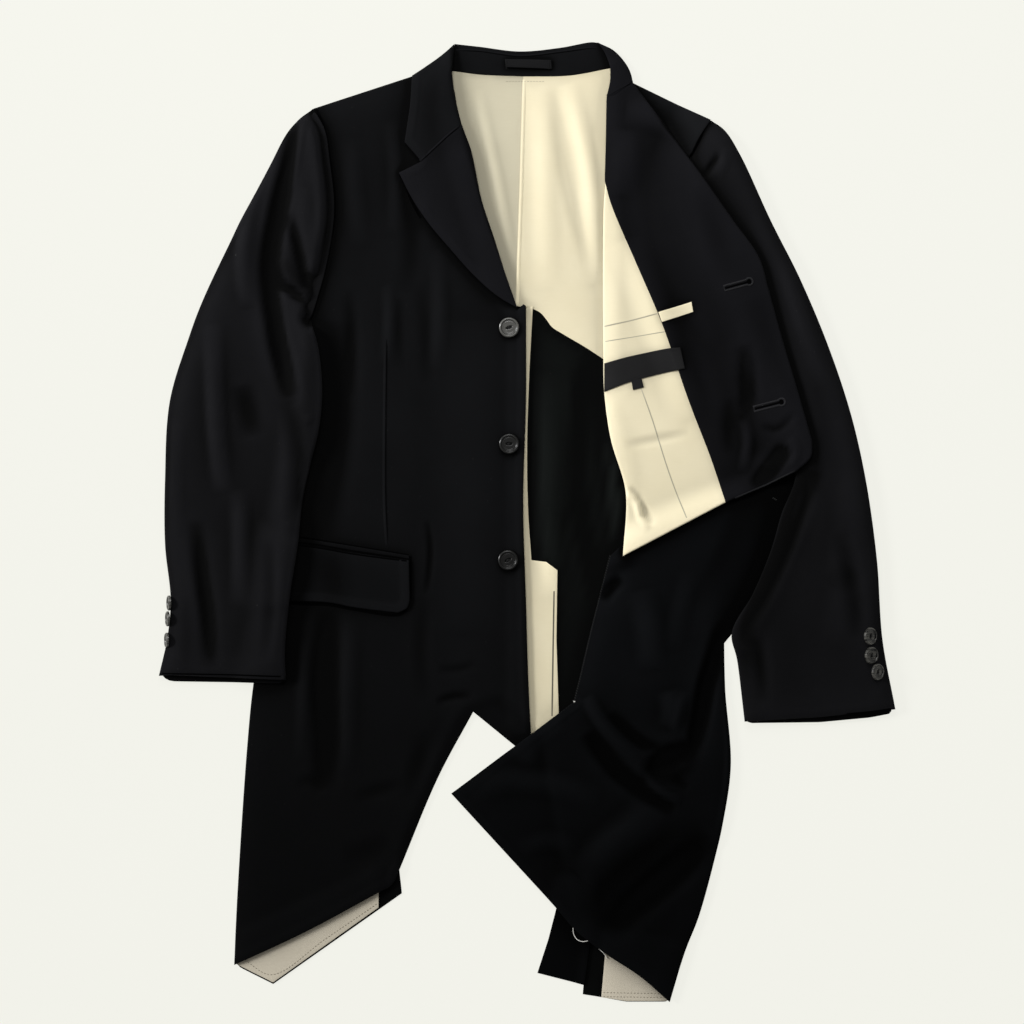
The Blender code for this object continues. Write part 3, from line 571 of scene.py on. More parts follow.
def nearest(path, x, y):
    """Distance from points to a path, the side as its sign, how far along, and the nearest place."""
    best = np.full(np.shape(x), np.inf)
    side, along = np.zeros(np.shape(x)), np.zeros(np.shape(x))
    at_x, at_y = np.zeros(np.shape(x)), np.zeros(np.shape(x))
    steps = np.diff(path, axis=0)
    lengths = np.hypot(*steps.T)
    done = 0.0
    for start, step, length in zip(path, steps, lengths):
        dx, dy = x - start[0], y - start[1]
        share = np.clip((dx * step[0] + dy * step[1]) / length**2, 0, 1)
        px, py = start[0] + share * step[0], start[1] + share * step[1]
        gap = np.hypot(x - px, y - py)
        closer = gap < best
        best = np.where(closer, gap, best)
        side = np.where(closer, np.sign(dx * step[1] - dy * step[0]), side)
        along = np.where(closer, done + share * length, along)
        at_x, at_y = np.where(closer, px, at_x), np.where(closer, py, at_y)
        done += length
    return best, side, along / done, at_x, at_y


def add_fold(height, half_width, rise, points):
    """Adds a squared-cosine ridge or trough about a curve, tapered towards its ends."""
    path = curve_points(points)[::3]
    near = ((FIELD_X > path[:, 0].min() - half_width) & (FIELD_X < path[:, 0].max() + half_width)
            & (FIELD_Y > path[:, 1].min() - half_width) & (FIELD_Y < path[:, 1].max() + half_width))
    gap, _, along, _, _ = nearest(path, FIELD_X[near], FIELD_Y[near])
    taper = np.sin(pi * np.clip(along, 0.0, 1.0)) ** FOLD_TAPER
    height[near] += rise * hump(gap, 0, half_width) * taper


def smooth_step(value):
    """Three squares less two cubes of the value, which is held from 0 to 1."""
    value = np.clip(value, 0, 1)
    return value * value * (3 - 2 * value)


def hump(value, middle, half_width):
    """Squared cosine: one at the middle, and nothing at a half width from it and beyond."""
    return np.cos(pi / 2 * np.clip((value - middle) / half_width, -1, 1)) ** 2


def lay_cloth():
    """Fields of where each layer's underside lies, and of the top of all that is below it."""
    top = np.zeros(FIELD_X.shape)
    lies = {}
    for layer, loft in LAYERS.items():
        support = np.where(top > 0, top + PLY_GAP, 0)
        masks = {p.name: covered(ring_points(p.edges)[0]) for p in PANELS if p.layer == layer}
        layer_mask = np.any(list(masks.values()), axis=0)
        height = draped(support) + loft * soften(layer_mask.astype(float), LOFT_SOFTNESS)
        for fold in FOLDS.get(layer, ()):
            add_fold(height, *fold)
        height = np.maximum(height, support)
        if layer == "sleeve_mid":
            height = meet_armhole(height, lies["front"], "armhole_right")
        lies[layer] = height
        for p in PANELS:
            if p.layer == layer:
                edge_cells = grown(masks[p.name].astype(float), 0.0) > 0
                top = np.where(edge_cells, np.maximum(top, height + p.thick), top)
    return lies, top


def level_round(top):
    """The mean heights of the cloth far round each place, some way round it and close by, bare floor counted
    in part, and the front buttons as well, moved down and to the wearer's left to cast their painted shadow."""
    cloth = top > 0
    # Each front button's painted shadow, moved down and to the wearer's left
    for x, y, *_ in FRONT_BUTTONS:
        near = np.hypot(FIELD_X - x - SHADE_SHIFT, FIELD_Y - y + SHADE_SHIFT) < SHADE_RADIUS
        top = top + BUTTON_SHADE * near
    means = []
    for reach in (FAR_REACH, HOLLOW_REACH, FOOT_REACH):
        share = soften(cloth.astype(float), reach)
        means.append(soften(np.where(cloth, top, 0), reach) / (share + FLOOR_COUNTS * (1 - share)))
    return means


def meet_armhole(height, front, edge):
    """Brings the sleeve's height to the front's along the armhole seam."""
    path = edge_points(edge)[::2]
    near = np.abs(FIELD_X - path[:, 0].mean()) < ARMHOLE_NEAR
    gap, _, _, at_x, at_y = nearest(path, FIELD_X[near], FIELD_Y[near])
    share = smooth_step(1 - gap / ARMHOLE_BLEND)
    height = height.copy()
    height[near] = share * read(front, at_x, at_y) + (1 - share) * height[near]
    return height


# Painted shade and painted sheen of each panel's cloth beside its creases: half width, how much deeper
# (below zero, how much paler) and the places that the curve runs through
SHADES = {
    "sleeve_left_top": (
        (26, 0.85, ((297, 48), (289, 24), (279, -17), (267, -46), (255, -72), (243, -98),
              (234, -127), (233, -158))),
        (18, 0.3, ((235, -127), (239, -181), (244, -210))),
        (22, 0.24, ((381, -84), (386, -127), (390, -160))),
        (22, 0.22, ((336, 13), (338, -41), (329, -95))),
        (13, -0.37, ((246, 324), (268, 272), (282, 218), (295, 164), (311, 99))),
        (9, 0.55, ((295, 56), (279, 8), (268, -30), (249, -76), (228, -117))),
        (44, 0.16, ((265, -73), (272, -138), (278, -205))),
        (15, 0.28, ((301, 78), (309, 56), (310, 30))),
    ),
    "skirt_left": (
        (26, 0.41, ((249, 29), (235, -3), (217, -41), (200, -84))),
        (18, 0.46, ((213, -104), (200, -149), (191, -181), (185, -214), (174, -248))),
        (14, 0.74, ((133, -270), (147, -274), (161, -270), (178, -259))),
        (24, 0.56, ((62, -423), (90, -395), (122, -369), (152, -349), (189, -328))),
        (34, 0.26, ((122, -435), (165, -397), (192, -354))),
        (60, -0.19, ((-18, -300), (25, -300), (68, -311), (100, -324))),
        (44, -0.19, ((118, -84), (122, -138), (117, -184))),
        (18, -0.37, ((75, -356), (109, -335), (139, -315))),
        (12, 0.52, ((83, -56), (100, -48), (118, -40))),
    ),
    "back_left": (
        (17, 0.78, ((59, 168), (56, 110), (54, 56), (59, 2), (68, -46), (79, -91))),
        (13, -0.3, ((85, 110), (92, 56), (96, 2), (99, -43))),
        (12, -0.3, ((37, 149), (38, 89), (38, 11))),
        (9, -0.22, ((5, 132), (5, 78), (6, 2))),
    ),
    "sleeve_right_top": (
        (17, 0.74, ((-253, 423), (-258, 380), (-266, 337), (-273, 299), (-279, 261))),
        (17, 0.74, ((-260, 283), (-248, 264), (-234, 251), (-225, 270))),
        (18, 0.44, ((-272, 234), (-268, 197), (-262, 164), (-257, 132))),
        (13, 0.44, ((-231, 213), (-233, 164), (-237, 121), (-237, 78), (-243, 35), (-252, -11))),
        (13, 0.37, ((-354, -36), (-347, -84), (-341, -127), (-339, -162))),
        (10, 0.24, ((-367, -84), (-367, -160))),
        (12, 0.28, ((-383, 99), (-383, 45), (-382, -9))),
        (17, -0.37, ((-339, 213), (-338, 148), (-333, 89), (-325, 29))),
        (18, -0.37, ((-282, 380), (-296, 342), (-303, 299), (-308, 248))),
        (13, -0.22, ((-313, 18), (-310, -41), (-312, -106))),
    ),
    "front_right": (
        (30, 0.22, ((-207, 213), (-204, 132), (-206, 56), (-215, -14))),
        (27, 0.3, ((-221, -97), (-217, -171), (-215, -235), (-224, -289))),
        (16, 0.24, ((-92, -212), (-109, -241), (-129, -281))),
        (6.5, 0.7, ((1, 245), (1, 132), (-2, 2), (-1, -127), (2, -230))),
        (56, -0.19, ((-59, -30), (-62, -106), (-72, -181))),
        (24, -0.24, ((-111, 324), (-89, 283), (-64, 244))),
    ),
    "pocket_flap_right": (
        (28, 0.37, ((-213, -28), (-208, -63), (-204, -97))),
    ),
    "collar_right": (
        (46, 0.28, ((-98, 499), (-103, 434), (-116, 386))),
        (13, 0.41, ((-73, 521), (-72, 477))),
        (6, 0.8, ((-81, 525), (-78, 488), (-70, 443))),
    ),
    "lapel_right": (
        (28, 0.26, ((-121, 391), (-94, 410), (-66, 430))),
        (6, 0.8, ((-72, 447), (-66, 413), (-56, 378), (-40, 321), (-24, 281), (-10, 246))),
    ),
    "front_left_facing": (
        (16, 0.67, ((239, 36), (256, 45), (268, 60), (276, 80))),
        (16, 0.37, ((230, 162), (237, 132), (232, 106))),
        (26, 0.19, ((249, 245), (265, 191), (278, 132))),
        (26, -0.28, ((107, 445), (116, 391), (122, 332), (152, 240))),
        (20, -0.28, ((176, 234), (193, 186), (211, 121))),
        (24, -0.28, ((122, 456), (170, 436), (204, 407))),
    ),
    "front_left_shell": (
        (26, -0.52, ((126, 464), (176, 443), (204, 419))),
    ),
    "sleeve_right_under": (
        (9, -0.56, ((-390, -170), (-260, -171))),
    ),
}


# A painted shade's share at its curve's ends, and the power of the sine that tapers it to them
SHADE_ENDS, SHADE_TAPER = 0.35, 0.5


def shade_on(name, points):
    """What the panel's painted shades add to its share of painted shade: a squared cosine about each curve,
    fading towards the curve's ends."""
    total = np.zeros(len(points))
    for half_width, shade_depth, places in SHADES.get(name, ()):
        gap, _, along, _, _ = nearest(curve_points(places)[::3], points[:, 0], points[:, 1])
        total += (shade_depth * hump(gap, 0, half_width)
                  * (SHADE_ENDS + (1 - SHADE_ENDS) * np.sin(pi * along) ** SHADE_TAPER))
    return total


# Where the painted shade towards the hem starts to deepen the cloth's tone, and where it is deepest
CHEST_Y, HEM_Y = 0.15, -0.42


def group(name, inputs, outputs):
    """An empty node group with the named sockets, and its two end nodes."""
    tree = bpy.data.node_groups.new(name, "ShaderNodeTree")
    for socket, kind, value in inputs:
        made = tree.interface.new_socket(socket, in_out="INPUT", socket_type=kind)
        if value is not None:
            made.default_value = value
    for socket, kind in outputs:
        tree.interface.new_socket(socket, in_out="OUTPUT", socket_type=kind)
    return tree, tree.nodes.new("NodeGroupInput"), tree.nodes.new("NodeGroupOutput")


def add(tree, kind, *feeds, **settings):
    """A node with its settings, its inputs fed by sockets or set to values in order."""
    made = tree.nodes.new(kind)
    for name, value in settings.items():
        setattr(made, name, value)
    for number, feed in enumerate(feeds):
        if isinstance(feed, bpy.types.NodeSocket):
            tree.links.new(feed, made.inputs[number])
        elif feed is not None:
            made.inputs[number].default_value = feed
    return made


def maths(tree, operation, *feeds):
    """What one step of arithmetic makes of values and sockets."""
    return add(tree, "ShaderNodeMath", *feeds, operation=operation).outputs[0]


def new_look(name):
    """A material with nodes, its tree and its shader."""
    made = bpy.data.materials.new(name)
    made.use_nodes = True
    return made, made.node_tree, made.node_tree.nodes["Principled BSDF"]


def two_tones(tree, share, dark, light):
    """A colour between a dark and a light one, by the share of the light one."""
    mixed = add(tree, "ShaderNodeMix", share, data_type="RGBA")
    mixed.inputs[6].default_value, mixed.inputs[7].default_value = (*dark, 1), (*light, 1)
    return mixed.outputs[2]


def deeper(tree, colour, shade):
    """A colour times another."""
    mixed = add(tree, "ShaderNodeMix", 1.0, data_type="RGBA", blend_type="MULTIPLY")
    tree.links.new(colour, mixed.inputs[6])
    tree.links.new(shade, mixed.inputs[7])
    return mixed.outputs[2]


def wave(tree, place, per_metre):
    """Half of one plus the sine of the place times the waves in a metre."""
    turned = maths(tree, "MULTIPLY", place, 2 * pi * per_metre)
    return maths(tree, "MULTIPLY_ADD", maths(tree, "SINE", turned), 0.5, 0.5)


def noise(tree, place, scale, detail=2.0, rough=0.5):
    """An uneven value from 0 to 1 that changes over a place, the scale being its waves in a metre."""
    made = add(tree, "ShaderNodeTexNoise", place, noise_dimensions="3D")
    made.inputs["Scale"].default_value = scale
    made.inputs["Detail"].default_value = detail
    made.inputs["Roughness"].default_value = rough
    return made.outputs["Fac"]


def build_twill():
    """Twill: diagonal wales about 1 mm apart, broken up by the threads and by uneven yarn."""
    tree, given, out = group("twill_weave", [("Place", "NodeSocketVector", None),
                                             ("Yarn Unevenness", "NodeSocketFloat", 0.5)],
                             [("Height", "NodeSocketFloat"), ("Tone", "NodeSocketFloat")])
    parts = add(tree, "ShaderNodeSeparateXYZ", given.outputs["Place"])
    x, y = parts.outputs[0], parts.outputs[1]
    wander = maths(tree, "MULTIPLY", noise(tree, given.outputs["Place"], 60.0), 0.0012)
    diagonal = maths(tree, "ADD", maths(tree, "MULTIPLY_ADD", y, 0.6, x), wander)
    wales = wave(tree, diagonal, 1000 / 0.95)
    threads = wave(tree, x, 1000 / 0.42)
    weave = maths(tree, "MULTIPLY_ADD", threads, 0.3, maths(tree, "MULTIPLY", wales, 0.7))
    yarn = maths(tree, "MULTIPLY", noise(tree, given.outputs["Place"], 900.0, 1.0),
                 given.outputs["Yarn Unevenness"])
    tree.links.new(maths(tree, "ADD", weave, yarn), out.inputs["Height"])
    tree.links.new(maths(tree, "MULTIPLY_ADD", yarn, 0.5, maths(tree, "MULTIPLY", weave, 0.6)),
                   out.inputs["Tone"])
    return tree


def build_plain():
    """Plain weave: warp and weft crossing about 0.5 mm apart, with thicker yarns here and there."""
    tree, given, out = group("plain_weave", [("Place", "NodeSocketVector", None),
                                             ("Slub", "NodeSocketFloat", 0.4)],
                             [("Height", "NodeSocketFloat"), ("Tone", "NodeSocketFloat")])
    parts = add(tree, "ShaderNodeSeparateXYZ", given.outputs["Place"])
    warp, weft = wave(tree, parts.outputs[0], 1000 / 0.5), wave(tree, parts.outputs[1], 1000 / 0.5)
    crossing = maths(tree, "MULTIPLY", warp, weft)
    longways = add(tree, "ShaderNodeVectorMath", given.outputs["Place"], (1.0, 14.0, 1.0),
                   operation="MULTIPLY").outputs[0]
    slub = maths(tree, "MULTIPLY", noise(tree, longways, 70.0, 3.0), given.outputs["Slub"])
    tree.links.new(maths(tree, "ADD", maths(tree, "MULTIPLY", crossing, 0.8), slub),
                   out.inputs["Height"])
    tree.links.new(maths(tree, "MULTIPLY_ADD", crossing, 0.35, slub), out.inputs["Tone"])
    return tree


def build_wear_and_shade():
    """Handling and painted shade: broad uneven tone, fine pale lint where a high noise passes a limit, and
    a painted shade that falls evenly from one at the chest to the given share at the hem, times the
    painted light of crests where the cloth stands over what is round it, and the painted shade of
    hollows where it lies lower."""
    tree, given, out = group("cloth_wear_and_painted_shade", [("Place", "NodeSocketVector", None),
                                            ("Lint Limit", "NodeSocketFloat", 0.74),
                                            ("Hem Shade", "NodeSocketFloat", 1.0),
                                            ("Shade Share", "NodeSocketFloat", 0.5),
                                            ("Painted Light Tone", "NodeSocketFloat", 1.0),
                                            ("Painted Shade Tone", "NodeSocketFloat", 1.0)],
                             [("Tone", "NodeSocketFloat"), ("Lint", "NodeSocketFloat"),
                              ("Depth", "NodeSocketColor")])
    broad = noise(tree, given.outputs["Place"], 16.0, 4.0, 0.6)
    fine = noise(tree, given.outputs["Place"], 420.0, 1.0)
    passed = maths(tree, "SUBTRACT", fine, given.outputs["Lint Limit"])
    lint = add(tree, "ShaderNodeClamp", maths(tree, "MULTIPLY", passed, 9.0), 0.0, 1.0).outputs[0]
    up = add(tree, "ShaderNodeSeparateXYZ", given.outputs["Place"]).outputs[1]
    # Painted shade: the cloth darkens from the chest down to the hem
    fall = add(tree, "ShaderNodeMapRange", up, CHEST_Y, HEM_Y, 1.0, given.outputs["Hem Shade"],
               interpolation_type="SMOOTHSTEP").outputs[0]
    # Painted light on crests and painted shade in hollows, by the shade share
    relief = add(tree, "ShaderNodeMapRange", given.outputs["Shade Share"], 0.0, 1.0,
                 given.outputs["Painted Light Tone"], given.outputs["Painted Shade Tone"]).outputs[0]
    shade_depth = maths(tree, "MULTIPLY", fall, relief)
    shade = add(tree, "ShaderNodeCombineColor", shade_depth, shade_depth, shade_depth)
    tree.links.new(broad, out.inputs["Tone"])
    tree.links.new(lint, out.inputs["Lint"])
    tree.links.new(shade.outputs[0], out.inputs["Depth"])
    return tree


TWILL, PLAIN, WEAR_AND_SHADE = build_twill(), build_plain(), build_wear_and_shade()


def cloth_look(name, weave, dark, light, lint, rough, sheen, bump, limit=0.74, uneven=0.5, specular=0.3,
               hem=1.0, crest_light=1.4, painted_shade=0.2):
    """Woven cloth: two tones mixed by weave and handling, lint over them, and the weave as bump; painted
    shade towards the hem, with painted light on crests and painted shade in hollows by the shade share.
    """
    made, tree, shader = new_look(name)
    place = add(tree, "ShaderNodeUVMap", uv_map="cloth").outputs[0]
    spot = add(tree, "ShaderNodeTexCoord").outputs["Object"]
    weaving = add(tree, "ShaderNodeGroup", node_tree=weave)
    tree.links.new(place, weaving.inputs["Place"])
    weaving.inputs[1].default_value = uneven
    wear_and_shade = add(tree, "ShaderNodeGroup", node_tree=WEAR_AND_SHADE)
    tree.links.new(spot, wear_and_shade.inputs["Place"])
    wear_and_shade.inputs["Lint Limit"].default_value = limit
    wear_and_shade.inputs["Hem Shade"].default_value = hem
    # The attribute holds each point's share of painted shade, less than half being painted light
    sunk = add(tree, "ShaderNodeAttribute", attribute_name="painted_shade").outputs["Fac"]
    tree.links.new(sunk, wear_and_shade.inputs["Shade Share"])
    wear_and_shade.inputs["Painted Light Tone"].default_value = crest_light
    wear_and_shade.inputs["Painted Shade Tone"].default_value = painted_shade
    tone = maths(tree, "MULTIPLY_ADD", weaving.outputs["Tone"], 0.5,
                 maths(tree, "MULTIPLY", wear_and_shade.outputs["Tone"], 0.6))
    linted = add(tree, "ShaderNodeMix", wear_and_shade.outputs["Lint"], data_type="RGBA")
    tree.links.new(two_tones(tree, tone, dark, light), linted.inputs[6])
    linted.inputs[7].default_value = (*lint, 1)
    tree.links.new(deeper(tree, linted.outputs[2], wear_and_shade.outputs["Depth"]), shader.inputs["Base Color"])
    tree.links.new(maths(tree, "MULTIPLY_ADD", weaving.outputs["Tone"], -0.12, rough + 0.05),
                   shader.inputs["Roughness"])
    relief = add(tree, "ShaderNodeBump")
    relief.inputs["Strength"].default_value = 1.0
    relief.inputs["Distance"].default_value = bump
    tree.links.new(weaving.outputs["Height"], relief.inputs["Height"])
    tree.links.new(relief.outputs[0], shader.inputs["Normal"])
    shader.inputs["Sheen Weight"].default_value = sheen
    shader.inputs["Sheen Roughness"].default_value = 0.45
    shader.inputs["Specular IOR Level"].default_value = specular
    return made


def thread_look(name, colour):
    """Sewing thread: its plies as slanting bands across it, and an uneven worn tone."""
    made, tree, shader = new_look(name)
    spot = add(tree, "ShaderNodeTexCoord").outputs["Object"]
    parts = add(tree, "ShaderNodeSeparateXYZ", spot)
    plies = wave(tree, maths(tree, "ADD", parts.outputs[0], parts.outputs[1]), 1000 / 0.45)
    tone = maths(tree, "MULTIPLY_ADD", plies, 0.5, maths(tree, "MULTIPLY", noise(tree, spot, 260.0), 0.5))
    mixed = two_tones(tree, tone, [0.55 * c for c in colour], [1.3 * c for c in colour])
    tree.links.new(mixed, shader.inputs["Base Color"])
    shader.inputs["Roughness"].default_value = 0.7
    shader.inputs["Specular IOR Level"].default_value = 0.1
    return made


def horn_look(name, dark, light, shine=1.0, spread=0.5):
    """Horn: streaks along one way, the sharper the less their spread, painted shade deeper in the eye and
    the holes, with fine scratches in the roughness."""
    made, tree, shader = new_look(name)
    spot = add(tree, "ShaderNodeTexCoord").outputs["Object"]
    along = add(tree, "ShaderNodeVectorMath", spot, (1.0, 5.0, 1.0), operation="MULTIPLY").outputs[0]
    streak = add(tree, "ShaderNodeMapRange", noise(tree, along, 110.0, 4.0, 0.6), 0.5 - spread,
                 0.5 + spread, 0.0, 1.0).outputs[0]
    sunk = add(tree, "ShaderNodeAttribute", attribute_name="painted_shade").outputs["Fac"]
    # Painted shade: darker where the share of painted shade is high
    fall = add(tree, "ShaderNodeMapRange", sunk, 0.3, 1.0, 1.0, 0.12).outputs[0]
    shade = add(tree, "ShaderNodeCombineColor", fall, fall, fall).outputs[0]
    tree.links.new(deeper(tree, two_tones(tree, streak, dark, light), shade), shader.inputs["Base Color"])
    tree.links.new(maths(tree, "MULTIPLY_ADD", noise(tree, spot, 700.0, 2.0), 0.2, 0.26),
                   shader.inputs["Roughness"])
    shader.inputs["Specular IOR Level"].default_value = 0.5 * shine
    shader.inputs["Coat Weight"].default_value = 0.35 * shine
    shader.inputs["Coat Roughness"].default_value = 0.2
    return made


# Each cloth's hem, crest_light and painted_shade settings are its painted shade towards the hem, painted
# light on crests and painted shade in hollows
MATERIALS = {
    "wool": cloth_look("black_wool_twill", TWILL, (0.0019, 0.0020, 0.0023), (0.0051, 0.0053, 0.0060),
        (0.03, 0.03, 0.03), 0.80, 0.010, 0.00010, limit=0.78, specular=0.045, hem=0.3,
        crest_light=1.7, painted_shade=0.12),
    "sleeve": cloth_look("black_wool_sleeve", TWILL, (0.0022, 0.0022, 0.0026),
        (0.0058, 0.0058, 0.0068), (0.03, 0.03, 0.03), 0.80, 0.012, 0.00010,
        limit=0.78, specular=0.06, hem=0.6, crest_light=1.75, painted_shade=0.08),
    # A darker copy of the shell wool: painted shade on the skirt and the vent, whose nap turns from the
    # light
    "skirt": cloth_look("black_wool_skirt_painted_shade", TWILL, (0.0016, 0.0018, 0.0021),
        (0.0046, 0.0050, 0.0058), (0.02, 0.02, 0.02), 0.84, 0.006, 0.00010,
        limit=0.8, specular=0.03, hem=0.3, crest_light=1.9, painted_shade=0.06),
    "wool_inside": cloth_look("black_wool_inside", TWILL, (0.0022, 0.0027, 0.0025),
        (0.0056, 0.0067, 0.0062), (0.03, 0.03, 0.03), 0.85, 0.008, 0.00010,
        limit=0.76, specular=0.05, hem=0.35, crest_light=1.6, painted_shade=0.2),
    "facing": cloth_look("black_wool_facing", TWILL, (0.0022, 0.0022, 0.0028),
        (0.0055, 0.0055, 0.0066), (0.03, 0.03, 0.03), 0.78, 0.012, 0.00010,
        limit=0.79, specular=0.045, hem=0.4, crest_light=1.6, painted_shade=0.08),
    "cream": cloth_look("cream_lining_weave", PLAIN, (0.75, 0.665, 0.445), (0.90, 0.82, 0.60),
        (0.96, 0.93, 0.80), 0.72, 0.12, 0.00008, limit=0.8, uneven=0.45,
        crest_light=1.12, painted_shade=0.7),
    # A darker copy of the cream lining: painted shade on the back lining's right half beside the pleat, and
    # in the lines sewn on the left front's lining
    "cream_shaded": cloth_look("cream_lining_shaded", PLAIN, (0.55, 0.50, 0.36), (0.71, 0.66, 0.49),
        (0.85, 0.82, 0.7), 0.72, 0.12, 0.00008, limit=0.8, uneven=0.45,
        crest_light=1.25, painted_shade=0.55),
    "grey": cloth_look("grey_lining_weave", PLAIN, (0.56, 0.50, 0.39), (0.74, 0.68, 0.55),
        (0.86, 0.83, 0.74), 0.75, 0.1, 0.00008, limit=0.8, uneven=0.45,
        crest_light=1.1, painted_shade=0.6),
    "tape": cloth_look("black_tape_weave", PLAIN, (0.0018, 0.0018, 0.002), (0.0045, 0.0045, 0.005),
        (0.03, 0.03, 0.03), 0.62, 0.01, 0.0001, limit=0.85, specular=0.08),
    "label_tape": cloth_look("black_label_weave", PLAIN, (0.0055, 0.0054, 0.0056),
        (0.0135, 0.0133, 0.0138), (0.03, 0.03, 0.03), 0.55, 0.01, 0.00006,
        limit=0.85, specular=0.1),
    # Painted shade: a dark copy of the cream laid in the slit of the right front's lining tongue
    "lining_shade": cloth_look("lining_slit_painted_shade", PLAIN, (0.16, 0.14, 0.10), (0.26, 0.24, 0.18),
        (0.5, 0.48, 0.4), 0.8, 0.1, 0.00008, limit=0.85, crest_light=1.4, painted_shade=0.5),
    # Painted shade: near-black laid in slits, in the grooves of seams, jets and cuff mouths, and as shadows
    # at the feet of the flap and the collar's notch
    "slit": cloth_look("groove_painted_shade", TWILL, (0.0006, 0.0006, 0.0007), (0.0016, 0.0016, 0.0018),
        (0.01, 0.01, 0.01), 0.9, 0.0, 0.00005, limit=0.9, specular=0.02),
    "horn": horn_look("grey_horn", (0.0022, 0.0022, 0.002), (0.012, 0.012, 0.011), 0.5),
    # A paler copy of the grey horn: painted light on the top front button
    "horn_painted_light": horn_look("painted_light_grey_horn", (0.045, 0.045, 0.041), (0.105, 0.103, 0.092)),
    # Streaked horn, its light streaks raised as a painted highlight on the left cuff buttons
    "horn_cuff": horn_look("painted_highlight_streaked_horn", (0.0006, 0.0006, 0.0005), (0.085, 0.083, 0.073), 0.6, 0.11),
    # A paler copy of the streaked horn: painted light on the right cuff buttons, turned on edge towards the
    # light
    "horn_edge": horn_look("painted_light_streaked_horn", (0.01, 0.01, 0.009), (0.15, 0.147, 0.13), 0.6, 0.16),
    # A darker copy of the grey horn: painted shade on the lowest front button
    "horn_painted_shade": horn_look("painted_shade_grey_horn", (0.0016, 0.0016, 0.0014), (0.008, 0.008, 0.0074), 0.42),
    "dark_thread": thread_look("dark_thread", (0.008, 0.008, 0.008)),
    "buttonhole_thread": thread_look("buttonhole_thread", (0.018, 0.018, 0.0195)),
    "dim_thread": thread_look("dim_thread", (0.028, 0.028, 0.027)),
    "lining_thread": thread_look("lining_thread", (0.26, 0.23, 0.18)),
    "white_thread": thread_look("white_thread", (0.62, 0.61, 0.57)),
    # Lighter wool along the facing's cut edge, with painted light along the crest of its raw-edge profile
    "raw_edge": cloth_look("wool_raw_edge", TWILL, (0.005, 0.005, 0.0055), (0.013, 0.013, 0.014),
        (0.06, 0.06, 0.06), 0.9, 0.02, 0.0002, limit=0.7, specular=0.05),
}

# Edges where a panel is sewn on, so that it runs a little into its neighbour
SEWN = ("armhole_right", "armhole_left", "gorge_right", "gorge_left", "collar_left_inner", "neck_right",
        "neck_left", "lining_fold", "centre_back", "facing_inner_high", "facing_inner_low",
        "stand_end_left", "stand_end_right")
# An outline's corner is sharp, and keeps a point of the grid, where it turns more than this
TURNING = radians(25)
# A turned-in allowance: its width, how far it lifts the cloth, and how softly it ends
TURNED_BAND, TURNED_RISE, TURNED_EDGE = 9.0, 0.7, 3.0
# A rolled edge: its radius as a share of its height, and the widest
ROLL_SHARE, WIDEST_ROLL = 0.6, 6.5
RIM_STEPS = 5
# How far the cloth round a point stands over it where the point takes its full painted shade, for the cloth
# far round it, some way round and close by, and how little and how much each may count, the least being
# painted light on crests
FAR_RANGE, FAR_REACH = 7.0, 30.0
HOLLOW_RANGE, HOLLOW_REACH = 2.6, 12.0
FOOT_RANGE, FOOT_REACH = 1.2, 3.0
FAR_LIMITS, HOLLOW_LIMITS, FOOT_LIMITS = (-0.12, 0.2), (-0.3, 0.35), (0.0, 0.5)
# Painted shadow of each front button: how high the button counts there, how wide, and how far down and to
# the wearer's left it is moved
BUTTON_SHADE, SHADE_RADIUS, SHADE_SHIFT = 3.5, 11.0, 2.5
# How much bare floor counts beside cloth in the painted shade
FLOOR_COUNTS = 0.35


def to_mesh(name, points, faces, material, uv, painted_shade=None):
    """A piece from points in millimetres and faces by point number, shaded smooth. The attribute
    painted_shade says how far each point lies under or over what is round it, 0.5 being level, more being
    painted shade and less painted light."""
    mesh = bpy.data.meshes.new(name)
    mesh.from_pydata((points * MM).tolist(), [], faces.tolist())
    layer = mesh.uv_layers.new(name="cloth")
    corner = np.empty(len(mesh.loops), int)
    mesh.loops.foreach_get("vertex_index", corner)
    layer.data.foreach_set("uv", (uv[corner] * MM).astype(np.float32).ravel())
    sunk = mesh.attributes.new("painted_shade", "FLOAT", "POINT")
    sunk.data.foreach_set("value", np.full(len(points), 0.5, np.float32) if painted_shade is None
                          else np.asarray(painted_shade, np.float32))
    mesh.materials.append(material)
    mesh.shade_smooth()
    mesh.update()
    piece = bpy.data.objects.new(name, mesh)
    bpy.context.scene.collection.objects.link(piece)
    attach(piece, "root")
    return piece


def stations(ring, inner, start, stop, count, pins=()):
    """Places on the ring from one corner to the next, evenly spread along the inner ring between pins,
    which give a ring number its share of the way, and one on each sharp corner."""
    index = np.arange(start, stop + 1)
    reach = np.hypot(*np.diff(inner[index % len(ring)], axis=0).T)
    reach = np.concatenate(([0], np.cumsum(reach + 0.001)))
    reach /= reach[-1]
    steps = np.diff(ring[index % len(ring)], axis=0)
    heading = np.arctan2(steps[:, 1], steps[:, 0])
    turn = np.abs((np.diff(heading) + pi) % (2 * pi) - pi)
    sharp = np.nonzero(turn > TURNING)[0] + 1
    pin_reach = np.array([0.0] + [reach[place - start] for place, _ in pins] + [1.0])
    pin_share = np.array([0.0] + [share for _, share in pins] + [1.0])
    slots = np.clip(np.round(np.interp(reach[sharp], pin_reach, pin_share) * count), 1, count - 1)
    slots = np.concatenate((slots, pin_share * count))
    reached = np.concatenate((reach[sharp], pin_reach))
    slots, first = np.unique(slots, return_index=True)
    even = np.interp(np.arange(count + 1), slots, reached[first])
    return np.interp(even, reach, index)


